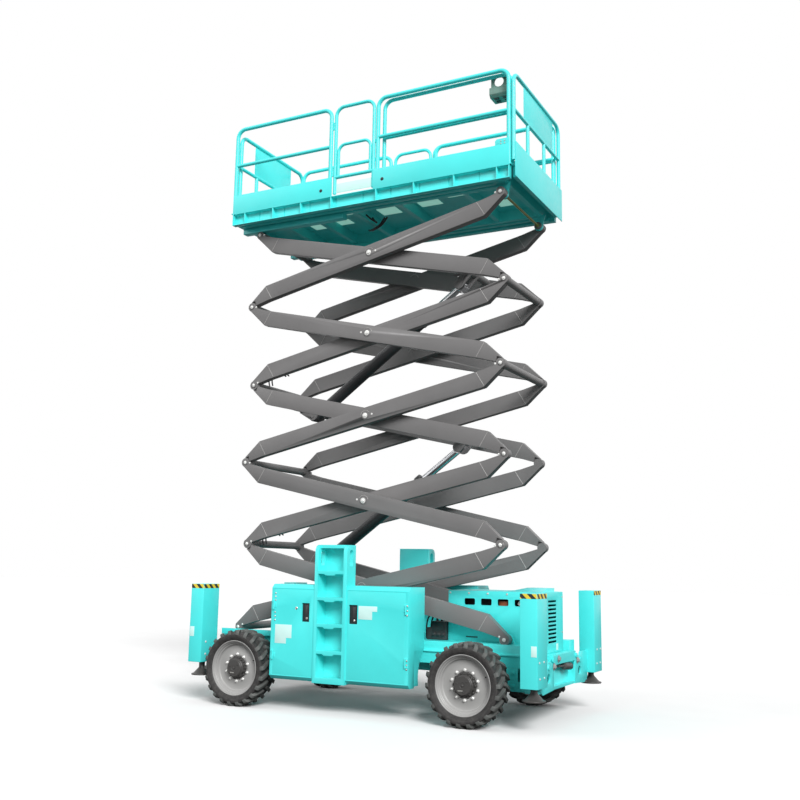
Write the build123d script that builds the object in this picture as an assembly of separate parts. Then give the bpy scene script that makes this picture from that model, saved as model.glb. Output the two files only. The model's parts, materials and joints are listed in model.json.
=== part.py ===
from build123d import *
from math import asin, atan2, cos, degrees, hypot, pi, radians, sin
import os

os.makedirs("parts", exist_ok=True)

# Rough-terrain scissor lift, in millimetres. +X runs towards the engine end, -Y is the near side,
# +Z is up, and the origin is on the floor, midway between the end pin columns.

# Scissor pack
level_count = 5
arm_length = 3474
rest_angle = 16.35
pin_column_x = 1605
first_pin_z = 847
arm_depth = 190
arm_thickness = 90
outer_arm_y = 651
inner_arm_y = 546
pin_standoff = 15
boss_radius = 55
pin_radius = 28
centre_pin_radius = 30
pin_clearance = 0.5
pin_head = 8
tongue_half = 20
fork_clearance = 2
boss_clearance = 6
bevel_length = 260
cross_tube_radius = 45
seat_gap = 0.3
spacer_radius = 72
shoe_radius = 45

# Lift cylinders, their eyes placed along and off their arms' pin lines
barrel_along = 2833
barrel_off = -172
rod_along = 780
rod_off = -67
barrel_mount_along = 3015
barrel_mount_off = -125
rod_mount_along = 700
rod_mount_off = 110
barrel_radius = 72
barrel_bore = 57
barrel_length = 1880
rod_radius = 42
rod_inside = 1293.1
gland_length = 70
eye_radius = 68
eye_width = 144
mount_lug = 24
mount_lug_gap = 8
lug_radius = 60

# Wheels and axles
wheel_radius = 420
carcass_radius = 396
tyre_width = 300
wheel_y = 993
front_axle_x = 1365
rear_axle_x = -1455
rim_radius = 300
rim_wall = 9
rim_gap = 0.3
lug_count = 18
lug_drop = 4.1
shoulder_depth = 50
hub_radius = 95
kingpin_y = 770
kingpin_radius = 38
axle_height = 120
axle_half = 690
steering_arm = 170

# Chassis
frame_end_x = 1973
frame_left_x = -2152
rail_inner_y = 460
rail_outer_y = 632
rail_top_z = 800
rail_bottom_z = 570
rail_wall = 10
track_outer_y = 712
track_end_x = -182
pin_bracket = 28
bracket_gap = 6

# Side cabinets
cabinet_left_x = -983
cabinet_right_x = 744
cabinet_inner_y = 728
cabinet_outer_y = 1100
cabinet_top_z = 1367
cabinet_bottom_z = 335
cabinet_wall = 6
cabinet_chamfer = 40
door_gap = 5
door_thickness = 22
door_reveal = 34
hinge_radius = 9
hinge_half = 24
hinge_length = 24
hinge_leaf = 32
arch_radius = 690
cabinet_arch_y = 960

# Ladders
ladder_left_x = -407
ladder_right_x = 133
ladder_top_z = 1806
ladder_bottom_z = 326
ladder_depth = 190
ladder_cheek = 44
ladder_wall = 8
step_count = 5
step_lip = 34
hand_slot = 22
hand_slot_low_z = 1580
hand_slot_top_z = 1710
ladder_step = 268

# Outriggers
outrigger_left_x = 1973
outrigger_length = 180
outrigger_inner_y = 819
outrigger_outer_y = 1112
outrigger_top_z = 1343
outrigger_bottom_z = 430
outrigger_wall = 10
jack_leg = 110
guide_height = 40
foot_radius = 118
foot_height = 26
foot_z = 300
rear_outrigger_x = -2152
beam_wall = 20
beam_top_z = 700
beam_depth = 100
end_plate_out = 93
end_plate_thickness = 20
end_plate_y = 360
end_plate_top_z = 640
end_plate_low_z = 352
tie_down_y = 525
tie_down_z = 480
tie_down_hole = 48

# Engine box
engine_left_x = 923
engine_right_x = 1958
engine_half = 415
engine_bottom_z = 641
engine_top_z = 1338
engine_wall = 6
window_count = 4
window_pitch = 193
window_first_x = 1137
window_width = 132
window_height = 76
window_z = 1222
louvre_count = 11
louvre_y = -76
louvre_width = 268
louvre_height = 21
louvre_bottom_z = 815
louvre_top_z = 1240

# Platform, its heights measured from the top pins and from its deck
deck_overhang = 285.5
deck_right_x = 1754
deck_half = 808
deck_rise = 99.3
deck_depth = 154
toe_height = 242
toe_wall = 6
rail_height = 1110
mid_rail_height = 650
rail_tube = 21
tube_sides = 12
rail_bend = 110
gate_left_x = -514
gate_right_x = 18
left_rail_x = -582
right_rail_x = 74
gate_hinge_x = -548
gate_hinge_rises = (310, 910)
extension_left_x = 103
extension_right_x = 1831
extension_half = 752
extension_stroke = 1200
extension_lift = 8
extension_kerb = 40
deck_plate = 12
control_box_height = 150
control_plate_height = 185
control_drop = 65


def box(x0, x1, y0, y1, z0, z1):
    centre = Pos((x0 + x1) / 2, (y0 + y1) / 2, (z0 + z1) / 2)
    return centre * Box(x1 - x0, y1 - y0, z1 - z0)


def rod_x(y, z, x0, x1, radius):
    return Pos((x0 + x1) / 2, y, z) * Rot(0, 90, 0) * Cylinder(radius, x1 - x0)


def rod_y(x, z, y0, y1, radius):
    return Pos(x, (y0 + y1) / 2, z) * Rot(90, 0, 0) * Cylinder(radius, y1 - y0)


def rod_z(x, y, z0, z1, radius):
    return Pos(x, y, (z0 + z1) / 2) * Cylinder(radius, z1 - z0)


def plate_y(outline, y0, y1):
    plane = Plane(origin=(0, y1, 0), x_dir=(1, 0, 0), z_dir=(0, -1, 0))
    face = plane * make_face(Polyline(*outline, close=True))
    return extrude(face, y1 - y0, dir=(0, -1, 0))


def plate_x(outline, x0, x1):
    plane = Plane(origin=(x0, 0, 0), x_dir=(0, 1, 0), z_dir=(1, 0, 0))
    face = plane * make_face(Polyline(*outline, close=True))
    return extrude(face, x1 - x0, dir=(1, 0, 0))


def plate_z(outline, z0, z1):
    face = Plane(origin=(0, 0, z0)) * make_face(Polyline(*outline, close=True))
    return extrude(face, z1 - z0, dir=(0, 0, 1))


def mirrored(solid):
    return mirror(solid, about=Plane.XZ)


def both_ranges(low, high):
    """The near and far spans of y between two distances from the middle."""
    return [(-high, -low), (low, high)]


def both_sides(solid):
    return [solid, mirrored(solid)]


def save(name, solids):
    kept = [body for item in solids for body in item.solids()]
    model = kept[0] if len(kept) == 1 else Compound(kept)
    model.label = name
    export_step(model, f"parts/{name}.step")


axle_z = wheel_radius
theta = radians(rest_angle)
level_rise = arm_length * sin(theta)
span_x = arm_length * cos(theta)
left_column_x = pin_column_x - span_x
centre_offset = arm_depth / 2 + pin_standoff
edge_slope = 2 * centre_offset / arm_length
half_thickness = arm_thickness / 2
bracket_reach = pin_bracket + bracket_gap + pin_head
hinge_y = cabinet_outer_y + hinge_radius + seat_gap
deck_left_x = left_column_x - deck_overhang
deck_bottom_z = first_pin_z + level_count * level_rise + deck_rise
deck_top_z = deck_bottom_z + deck_depth
toe_top_z = deck_top_z + toe_height
rail_top = deck_top_z + rail_height
rail_mid = deck_top_z + mid_rail_height
gate_hinge_heights = [deck_top_z + rise for rise in gate_hinge_rises]


# Scissor arms

def rises_right(kind, level):
    """Odd levels' outer arms and even levels' inner arms rise towards the engine end."""
    return (kind == "outer") == (level % 2 == 1)


def arm_point(kind, level, along, off):
    """A place on an arm: along from its lower pin, off from its pin line, as (x, z) at rest."""
    low_z = first_pin_z + level_rise * (level - 1)
    if rises_right(kind, level):
        x = left_column_x + along * cos(theta) - off * sin(theta)
        z = low_z + along * sin(theta) + off * cos(theta)
    else:
        x = pin_column_x - along * cos(theta) + off * sin(theta)
        z = low_z + along * sin(theta) + off * cos(theta)
    return x, z


def arm_outline():
    top = centre_offset + arm_depth / 2 - edge_slope * bevel_length
    web = pin_standoff / edge_slope
    tip_u = -boss_radius * 0.72
    tip_n = boss_radius * 0.69
    lower_end = [(bevel_length, top), (tip_u, tip_n), (0, 0), (web, 0)]
    upper_end = [(arm_length - u, -n) for u, n in lower_end]
    return lower_end + upper_end


def end_kind(kind, level, upper):
    """How an arm meets its neighbour at an end pin: whole, tongue or fork."""
    if (level == 1 and not upper) or (level == level_count and upper):
        return "whole"
    at_right = rises_right(kind, level) == upper
    if at_right:
        return "fork" if upper else "tongue"
    return "fork" if level % 2 == 0 else "tongue"


def end_cut(kind, level, upper, y0, y1):
    """Square block round an end pin, larger than the boss, that leaves a fork's slot or a tongue."""
    reach = boss_radius + boss_clearance
    along = arm_length if upper else 0
    corners = [(-reach, -reach), (reach, -reach), (reach, reach), (-reach, reach)]
    return plate_y([arm_point(kind, level, along + u, n) for u, n in corners], y0, y1)


def arm_body(kind, level, plane_y):
    """One arm on the near side, its mid-plane at -plane_y."""
    y0 = -plane_y - half_thickness
    y1 = -plane_y + half_thickness
    outline = [arm_point(kind, level, u, n) for u, n in arm_outline()]
    body = plate_y(outline, y0, y1)
    for upper in (False, True):
        x, z = arm_point(kind, level, arm_length if upper else 0, 0)
        end = end_kind(kind, level, upper)
        slides = end == "whole" and kind == ("inner" if upper else "outer")
        body += rod_y(x, z, y0, y1, shoe_radius if slides else boss_radius)
        if end == "fork":
            slot = tongue_half + fork_clearance
            body -= end_cut(kind, level, upper, -plane_y - slot, -plane_y + slot)
            body += rod_y(x, z, y0 - pin_head, y1, pin_radius)
        if end == "tongue":
            body -= end_cut(kind, level, upper, y0 - 1, -plane_y - tongue_half)
            body -= end_cut(kind, level, upper, -plane_y + tongue_half, y1 + 1)
            body -= rod_y(x, z, y0, y1, pin_radius + pin_clearance)
        if end == "whole" and not slides:
            body += rod_y(x, z, y0 - bracket_reach, y1 + bracket_reach, pin_radius)
    return body


def centre_pin(kind, level, body):
    """The outer arm carries the pin, and the inner arm is bored for it and carries the spacer."""
    x, z = arm_point(kind, level, arm_length / 2, 0)
    outer_face = -outer_arm_y - half_thickness
    inner_face = -inner_arm_y + half_thickness
    if kind == "outer":
        body += rod_y(x, z, outer_face - pin_head, inner_face, centre_pin_radius)
        return body + rod_y(x, z, outer_face - pin_head / 2, outer_face, centre_pin_radius * 1.5)
    spacer_end = -outer_arm_y + half_thickness + seat_gap
    body += rod_y(x, z, spacer_end, -inner_arm_y, spacer_radius)
    return body - rod_y(x, z, spacer_end, inner_face + 1, centre_pin_radius + pin_clearance)


def cross_tube(x, z, plane_y, stop=0):
    reach = plane_y - half_thickness - seat_gap - stop
    return rod_y(x, z, -reach, reach, cross_tube_radius)


def lug_pair(kind, level, eye, foot, pinned):
    """Two plates that reach from a cross tube to a cylinder's eye, with the eye's pin if it is pinned."""
    inner = eye_width / 2 + mount_lug_gap
    eye_x, eye_z = arm_point(kind, level, *eye)
    foot_x, foot_z = arm_point(kind, level, *foot)
    length = hypot(foot_x - eye_x, foot_z - eye_z)
    turn = degrees(atan2(foot_z - eye_z, foot_x - eye_x))
    plates = []
    for side in (-1, 1):
        y0, y1 = sorted((side * inner, side * (inner + mount_lug)))
        strip = plate_y([(0, -lug_radius), (length, -lug_radius), (length, lug_radius), (0, lug_radius)], y0, y1)
        strip += rod_y(0, 0, y0, y1, lug_radius)
        plates.append(Pos(eye_x, 0, eye_z) * Rot(0, -turn, 0) * strip)
    reach = inner + mount_lug + pin_head
    if pinned:
        plates.append(rod_y(eye_x, eye_z, -reach, reach, pin_radius))
    return plates


def arm_pair(kind, level):
    plane_y = outer_arm_y if kind == "outer" else inner_arm_y
    near = centre_pin(kind, level, arm_body(kind, level, plane_y))
    solids = both_sides(near)
    for upper in (False, True):
        end = end_kind(kind, level, upper)
        x, z = arm_point(kind, level, arm_length if upper else 0, 0)
        slides = end == "whole" and kind == ("inner" if upper else "outer")
        at_right = rises_right(kind, level) == upper
        over_engine = at_right and level < 3
        if slides or (end == "fork" and not over_engine) or (end == "whole" and upper):
            solids.append(cross_tube(x, z, plane_y, bracket_reach if end == "whole" and not slides else 0))
    if kind == "inner" and level in (1, 3):
        x, z = arm_point(kind, level, barrel_mount_along, barrel_mount_off)
        tube = cross_tube(x, z, plane_y)
        for plate in lug_pair(kind, level, (barrel_along, barrel_off), (barrel_mount_along, barrel_mount_off), True):
            tube += plate
        solids.append(tube)
    if kind == "inner" and level in (3, 5):
        x, z = arm_point(kind, level, rod_mount_along, rod_mount_off)
        tube = cross_tube(x, z, plane_y)
        for plate in lug_pair(kind, level, (rod_along, rod_off), (rod_mount_along, rod_mount_off), False):
            tube += plate
        solids.append(tube)
    return solids


# Lift cylinders

def cylinder_place(level):
    """The lower eye, the length between the eyes and the slope of the cylinder that starts there."""
    low = arm_point("inner", level, barrel_along, barrel_off)
    high = arm_point("inner", level + 2, rod_along, rod_off)
    length = hypot(high[0] - low[0], high[1] - low[1])
    slope = degrees(atan2(high[1] - low[1], high[0] - low[0]))
    return low, length, slope


def on_cylinder(low, slope, solid):
    return Pos(low[0], 0, low[1]) * Rot(0, -slope, 0) * solid


def lift_barrel(level):
    low, length, slope = cylinder_place(level)
    tube = rod_x(0, 0, eye_radius * 0.6, barrel_length, barrel_radius)
    tube += rod_x(0, 0, barrel_length - gland_length, barrel_length, barrel_radius + 9)
    tube += rod_y(0, 0, -eye_width / 2, eye_width / 2, eye_radius)
    tube -= rod_y(0, 0, -eye_width, eye_width, pin_radius + pin_clearance)
    tube -= rod_x(0, 0, eye_radius + 25, barrel_length - gland_length, barrel_bore)
    tube -= rod_x(0, 0, barrel_length - gland_length - 1, barrel_length + 1, rod_radius + pin_clearance)
    return on_cylinder(low, slope, tube)


def lift_rod(level):
    low, length, slope = cylinder_place(level)
    start = barrel_length - rod_inside
    rod = rod_x(0, 0, start, length - eye_radius * 0.6, rod_radius)
    rod += rod_x(0, 0, start, start + 45, barrel_bore - pin_clearance)
    rod += rod_y(length, 0, -eye_width / 2, eye_width / 2, eye_radius)
    return on_cylinder(low, slope, rod)


# Wheels and axles

def tyre_carcass():
    """The tyre without its lugs, about Y through the origin: one flat under each lug and bevelled shoulders."""
    half = tyre_width / 2
    sides = 2 * lug_count
    across_flats = 1 / cos(pi / sides)
    section = Plane(origin=(0, -half, 0), x_dir=(1, 0, 0), z_dir=(0, 1, 0)) * RegularPolygon(carcass_radius * across_flats, sides)
    body = extrude(section, tyre_width, dir=(0, 1, 0))
    ends = body.edges().filter_by(lambda edge: abs(abs(edge.center().Y) - half) < 0.01)
    body = chamfer(ends, shoulder_depth, length2=shoulder_depth * 0.8)
    bore = Plane(origin=(0, -half - 1, 0), x_dir=(1, 0, 0), z_dir=(0, 1, 0)) * RegularPolygon(rim_radius * across_flats, sides)
    return body - extrude(bore, tyre_width + 2, dir=(0, 1, 0))


def tyre_lug():
    """One slanted bar on the outer half of the tread, over a flat at the top of the carcass."""
    outer_edge = tyre_width / 2
    low = carcass_radius - 10
    return plate_z([(-30, 6), (16, 6), (58, outer_edge - 4), (12, outer_edge - 4)], low, wheel_radius - lug_drop)


def tyre(x, side):
    body = tyre_carcass()
    lug = tyre_lug()
    other = mirror(lug, about=Plane.XZ)
    turn = 360 / lug_count
    bars = [Rot(0, index * turn, 0) * lug for index in range(lug_count)]
    bars += [Rot(0, (index + 0.5) * turn, 0) * other for index in range(lug_count)]
    return Pos(x, side * wheel_y, axle_z) * (body + bars)


def wheel_turned(profile, x, side):
    """Revolve (radius, width) points about the wheel's axis; width grows towards the outside."""
    outline = [(width * side, radius) for radius, width in profile]
    plane = Plane(origin=(x, side * wheel_y, axle_z), x_dir=(0, 1, 0), z_dir=(1, 0, 0))
    face = plane * make_face(Polyline(*outline, close=True))
    return revolve(face, Axis((x, 0, axle_z), (0, 1, 0)), 360)


def rim(x, side):
    """Rim, dished disc and hub, turned as one."""
    half = tyre_width / 2
    outer = rim_radius - rim_gap
    profile = [(outer, -half + 40), (outer, half - 20), (outer - 28, half - 20), (outer - 60, half - 96),
               (hub_radius, half - 92), (hub_radius, half - 22), (0, half - 22), (0, half - 190),
               (hub_radius + 30, half - 190), (hub_radius + 30, half - 112), (outer - 46, half - 112), (outer - 16, -half + 40)]
    return [wheel_turned(profile, x, side)]


def axle_beam(x, steered):
    reach = axle_half
    beam = box(x - axle_height / 2, x + axle_height / 2, -reach, reach, axle_z - axle_height / 2, axle_z + axle_height / 2)
    housing = wheel_turned([(0, -wheel_y - 150), (70, -wheel_y - 150), (145, -wheel_y - 60), (145, -wheel_y + 60),
                            (70, -wheel_y + 150), (0, -wheel_y + 150)], x, 1)
    beam += housing
    beam += rod_x(0, axle_z, x - 230, x - 120, 55)
    for side in (-1, 1):
        if steered:
            for z0, z1 in ((axle_z - 112, axle_z - 86), (axle_z + 86, axle_z + 112)):
                yoke = box(x - 45, x + 45, *sorted((side * (reach - 70), side * kingpin_y)), z0, z1)
                beam += yoke + rod_z(x, side * kingpin_y, z0, z1, 45)
            beam += box(x - 50, x + 50, *sorted((side * (reach - 70), side * (reach - 20))), axle_z - 112, axle_z + 112)
        else:
            beam += rod_y(x, axle_z, *sorted((side * (reach - 1), side * (wheel_y - 40.4))), 78)
    for side in (-1, 1):
        y0, y1 = sorted((side * (rail_inner_y + 20), side * (rail_outer_y - 32)))
        beam += box(x - 70, x + 70, y0, y1, axle_z + axle_height / 2 - 1, rail_bottom_z - seat_gap)
    return beam


def knuckle(side):
    x = front_axle_x
    top = axle_z + 86 - seat_gap
    low = axle_z - 86 + seat_gap
    body = rod_z(x, side * kingpin_y, low, top, 45)
    body += rod_y(x, axle_z, *sorted((side * kingpin_y, side * (wheel_y - 40.4))), 60)
    arm_x = x - steering_arm
    body += box(arm_x, x, *sorted((side * (kingpin_y - 22), side * (kingpin_y + 22))), axle_z - 75, axle_z - 50)
    body += rod_z(arm_x, side * kingpin_y, axle_z - 75, axle_z - 50, 24)
    return body


def tie_rod():
    x = front_axle_x - steering_arm
    z = axle_z - 90
    rod = rod_y(x, z, -kingpin_y, kingpin_y, 14)
    for side in (-1, 1):
        rod += rod_z(x, side * kingpin_y, z - 16, axle_z - 75 - seat_gap, 20)
    return rod


# Chassis

def pin_bracket_plate(y0, y1):
    """Upright plate that holds an arm's fixed lower pin."""
    x = pin_column_x
    z = first_pin_z
    outline = [(x - 150, rail_top_z - 60), (x + 110, rail_top_z - 60), (x + 45, z + 32), (x - 45, z + 32)]
    plate = plate_y(outline, y0, y1) + rod_y(x, z, y0, y1, boss_radius)
    return plate - rod_y(x, z, y0 - 1, y1 + 1, pin_radius + pin_clearance)


def chassis():
    rail = box(frame_left_x + 160, frame_end_x, -rail_outer_y, -rail_inner_y, rail_bottom_z, rail_top_z)
    track_z = first_pin_z - shoe_radius - seat_gap
    track = box(left_column_x - 230, track_end_x, -track_outer_y, -rail_outer_y + 60, rail_top_z - 40, track_z)
    track += box(left_column_x - 230, track_end_x, -track_outer_y, -track_outer_y + 12, rail_top_z - 40, track_z + 22)
    flange = box(frame_left_x + 160, frame_end_x - 40, -rail_outer_y - 18, -rail_inner_y, rail_top_z - 110, rail_top_z - 96)
    side = rail + track + flange
    face_in = inner_arm_y - half_thickness - bracket_gap
    face_out = inner_arm_y + half_thickness + bracket_gap
    side += pin_bracket_plate(-face_in, -face_in + pin_bracket)
    side += pin_bracket_plate(-face_out - pin_bracket, -face_out)
    body = side + mirrored(side)
    for x in (frame_left_x + 200, -1060, -310, 460):
        body += box(x - 60, x + 60, -rail_inner_y - 5, rail_inner_y + 5, rail_bottom_z + 10, rail_top_z - 110)
    body += box(engine_left_x - 30, engine_right_x, -rail_inner_y - 5, rail_inner_y + 5, rail_bottom_z, engine_bottom_z - seat_gap)
    body += end_beam(frame_end_x, 1)
    body += end_beam(rear_outrigger_x + outrigger_length, -1)
    for y0, y1 in both_ranges(inner_arm_y - half_thickness - bracket_gap, inner_arm_y + half_thickness + bracket_gap):
        body -= rod_y(pin_column_x, first_pin_z, y0, y1, boss_radius + boss_clearance)
    for x in (-760, 540):
        for side_sign in (-1, 1):
            y0, y1 = sorted((side_sign * (rail_outer_y - 10), side_sign * (cabinet_inner_y - seat_gap)))
            body += box(x - 60, x + 60, y0, y1, rail_bottom_z + 20, rail_top_z - 60)
    return body


def end_beam(x, sign):
    """Recessed beam between two outriggers, with a round-cornered tie-down plate at each end of it."""
    def across(from_x, to_x, *rest):
        x0, x1 = sorted((x + sign * from_x, x + sign * to_x))
        return box(x0, x1, *rest)

    reach = outrigger_inner_y - seat_gap
    beam = across(-60, beam_wall, -reach, reach, end_plate_low_z, rail_bottom_z + 1)
    beam += across(-200, -59, -rail_outer_y, rail_outer_y, outrigger_bottom_z + 10, rail_bottom_z + 1)
    beam += across(0, end_plate_out, -end_plate_y - 30, end_plate_y + 30, beam_top_z - beam_depth, beam_top_z)
    beam += across(0, end_plate_out - 8, -reach, reach, end_plate_low_z, end_plate_low_z + 30)
    outline = [(-reach, beam_top_z - 20), (-reach, end_plate_low_z + 40), (-reach + 110, end_plate_low_z - 20),
               (-end_plate_y, end_plate_low_z), (-end_plate_y, end_plate_top_z - 90),
               (-end_plate_y - 25, end_plate_top_z - 27), (-end_plate_y - 90, end_plate_top_z),
               (-end_plate_y - 180, end_plate_top_z), (-end_plate_y - 210, beam_top_z - 20)]
    x0, x1 = sorted((x + sign * (end_plate_out - end_plate_thickness), x + sign * end_plate_out))
    hole = rod_x(-tie_down_y, tie_down_z, x0 - 1, x1 + 1, tie_down_hole)
    plate = plate_x(outline, x0, x1) - hole
    web = across(0, end_plate_out, -end_plate_y - 20, -end_plate_y, end_plate_low_z, end_plate_top_z - 100)
    head_end = x + sign * (end_plate_out + 14)
    a, b = sorted((x + sign * (end_plate_out - 1), head_end))
    head = rod_x(-tie_down_y - 10, end_plate_top_z - 50, a, b, 26)
    head += rod_x(-end_plate_y - 0.3 * beam_depth, beam_top_z - 0.5 * beam_depth, a, b, 26)
    for piece in both_sides(plate + web + head):
        beam += piece
    return beam


# Side cabinets

def cabinet():
    """Near-side cabinet: an open steel box with bevelled long edges, its inner end cut round the tyre."""
    shell = cabinet_solid(0) - cabinet_solid(cabinet_wall)
    low, high = door_heights()
    for x0, x1 in door_openings():
        shell -= box(x0, x1, -cabinet_outer_y - 1, -cabinet_outer_y + door_thickness + 20, low, high)
    for x, inward in door_hinges():
        for z in door_hinge_heights():
            for low in (z - hinge_half - seat_gap - hinge_length, z + hinge_half + seat_gap):
                shell += rod_z(x, -hinge_y, low, low + hinge_length, hinge_radius)
                x0, x1 = sorted((x, x - inward * hinge_leaf))
                shell += box(x0, x1, -cabinet_outer_y - 4, -cabinet_outer_y + 1, low, low + hinge_length)
    return shell


def cabinet_solid(inset):
    y_in = -cabinet_inner_y - inset
    y_out = -cabinet_outer_y + inset
    top = cabinet_top_z - inset
    low = cabinet_bottom_z + inset
    left = cabinet_left_x + inset
    right = cabinet_right_x - inset
    c = cabinet_chamfer
    end = [(y_in, low), (y_in, top), (y_out + c, top), (y_out, top - c), (y_out, low + c), (y_out + c, low)]
    body = plate_x(end, left, right)
    return body - rod_y(front_axle_x, axle_z, -cabinet_arch_y + inset, y_in + 10, arch_radius + inset)


def door_openings():
    return [(cabinet_left_x + door_reveal, ladder_left_x - 12), (ladder_right_x + 12, cabinet_right_x - door_reveal)]


def door_heights():
    return cabinet_bottom_z + cabinet_chamfer + 10, cabinet_top_z - cabinet_chamfer - 10


def door_hinges():
    """Each door's hinge line and the way from it into the door."""
    left, right = door_openings()
    return [(left[0], 1), (right[1], -1)]


def door_hinge_heights():
    return (cabinet_bottom_z + 260, cabinet_top_z - 230)


def cabinet_door(x0, x1, hinge_x, inward):
    """Near-side door leaf, set into its opening, with the middle knuckles of its hinges."""
    g = door_gap
    leaf = box(x0 + g, x1 - g, -cabinet_outer_y, -cabinet_outer_y + door_thickness,
               door_heights()[0] + g, door_heights()[1] - g)
    for z in door_hinge_heights():
        leaf += rod_z(hinge_x, -hinge_y, z - hinge_half, z + hinge_half, hinge_radius)
        a, b = sorted((hinge_x, hinge_x + inward * hinge_leaf))
        leaf += box(a, b, -cabinet_outer_y - 4, -cabinet_outer_y + 1, z - hinge_half, z + hinge_half)
    return leaf


def ladder():
    """Near-side ladder: two cheeks with hand slots, a back plate and folded steps."""
    y_out = -cabinet_outer_y - 10
    y_in = y_out + ladder_depth
    body = box(ladder_left_x, ladder_right_x, y_in - ladder_wall, y_in, ladder_bottom_z, ladder_top_z)
    cheek_outline = [(y_in, ladder_bottom_z), (y_out, ladder_bottom_z), (y_out, ladder_top_z - 60),
                     (y_out + 18, ladder_top_z - 18), (y_out + 60, ladder_top_z), (y_in, ladder_top_z)]
    y_slot = y_out + ladder_depth * 0.42
    for x0 in (ladder_left_x, ladder_right_x - ladder_cheek):
        cheek = plate_x(cheek_outline, x0, x0 + ladder_cheek)
        cheek -= box(x0 - 1, x0 + ladder_cheek + 1, y_slot - hand_slot, y_slot + hand_slot, hand_slot_low_z, hand_slot_top_z)
        for z in (hand_slot_low_z, hand_slot_top_z):
            cheek -= rod_x(y_slot, z, x0 - 1, x0 + ladder_cheek + 1, hand_slot)
        body += cheek
    left = ladder_left_x + ladder_cheek - 1
    right = ladder_right_x - ladder_cheek + 1
    for index in range(step_count):
        z = ladder_bottom_z + 60 + index * ladder_step
        tread = [(y_out, z), (y_out, z - step_lip), (y_out + 10, z - step_lip), (y_out + 10, z - 10),
                 (y_in - 60, z - 10), (y_in, z - 60), (y_in, z)]
        body += plate_x(tread, left, right)
    body += box(left, right, y_out, y_out + 10, ladder_bottom_z, ladder_bottom_z + 60)
    return body + box(left, right, y_out + 40, y_in, ladder_top_z - 36, ladder_top_z)


def ladder_pocket():
    y_out = -cabinet_outer_y - 10
    gap = seat_gap
    return box(ladder_left_x - gap, ladder_right_x + gap, y_out, y_out + ladder_depth + gap, cabinet_bottom_z - 1, cabinet_top_z + 1)


# Engine box

def engine_cover():
    outer = box(engine_left_x, engine_right_x, -engine_half, engine_half, engine_bottom_z, engine_top_z)
    inner = box(engine_left_x + engine_wall, engine_right_x - engine_wall, -engine_half + engine_wall,
                engine_half - engine_wall, engine_bottom_z - 1, engine_top_z - engine_wall)
    cover = outer - inner
    for index in range(window_count):
        x = window_first_x + index * window_pitch
        cover -= box(x - window_width / 2, x + window_width / 2, -engine_half - 1, -engine_half + engine_wall + 1,
                     window_z - window_height / 2, window_z + window_height / 2)
    pitch = (louvre_top_z - louvre_bottom_z) / (louvre_count - 1)
    for index in range(louvre_count):
        z = louvre_bottom_z + index * pitch
        cover -= box(engine_right_x - engine_wall - 1, engine_right_x + 1, louvre_y - louvre_width / 2,
                     louvre_y + louvre_width / 2, z - louvre_height / 2, z + louvre_height / 2)
    cover += box(engine_right_x - 420, engine_right_x - 40, -300, 120, engine_top_z, engine_top_z + 40)
    return cover


def engine_block():
    return box(engine_left_x + 120, engine_right_x - 140, -270, 270, engine_bottom_z, 1180)


# Outriggers

def outrigger_housing(x0, sign_y, bottom):
    y0, y1 = sorted((sign_y * outrigger_inner_y, sign_y * outrigger_outer_y))
    w = outrigger_wall
    outer = box(x0, x0 + outrigger_length, y0, y1, bottom, outrigger_top_z)
    inner = box(x0 + w, x0 + outrigger_length - w, y0 + w, y1 - w, bottom + guide_height, outrigger_top_z - w)
    x = x0 + outrigger_length / 2
    y = (y0 + y1) / 2
    half = jack_leg / 2 + seat_gap
    guide_hole = box(x - half, x + half, y - half, y + half, bottom - 1, bottom + guide_height + 1)
    return outer - inner - guide_hole


def outrigger_jack(x0, sign_y, bottom):
    x = x0 + outrigger_length / 2
    y = sign_y * (outrigger_inner_y + outrigger_outer_y) / 2
    half = jack_leg / 2
    leg = box(x - half, x + half, y - half, y + half, foot_z + foot_height, outrigger_top_z - 60)
    foot = rod_z(x, y, foot_z, foot_z + foot_height, foot_radius)
    foot += rod_z(x, y, foot_z, foot_z + 70, 70)
    return leg + foot


# Platform

def rounded_corners(points, bend):
    """The same route with each inner corner cut into three short turns."""
    route = [Vector(*points[0])]
    for before, corner, after in zip(points, points[1:], points[2:]):
        middle = Vector(*corner)
        back = (Vector(*before) - middle).normalized()
        on = (Vector(*after) - middle).normalized()
        for along_back, along_on in ((1.0, 0.0), (0.42, 0.1), (0.1, 0.42), (0.0, 1.0)):
            route.append(middle + back * (bend * along_back) + on * (bend * along_on))
    return route + [Vector(*points[-1])]


def bent_tube(points, radius=rail_tube, bend=rail_bend):
    """A tube along straight runs, its section twelve flats and its bends mitred in three turns."""
    route = rounded_corners(points, bend)
    section = Plane(origin=route[0], z_dir=route[1] - route[0]) * RegularPolygon(radius, tube_sides)
    return sweep(section, path=Polyline(*route), transition=Transition.RIGHT)


def rail_bar(start, end, radius=rail_tube):
    return bent_tube([start, end], radius)


def rail_panel(x0, x1, y, foot, top=rail_top, mid=rail_mid):
    """Inverted U of tube with a middle rail."""
    panel = bent_tube([(x0, y, foot), (x0, y, top - rail_tube), (x1, y, top - rail_tube), (x1, y, foot)])
    panel += rail_bar((x0, y, mid), (x1, y, mid))
    return panel


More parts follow.
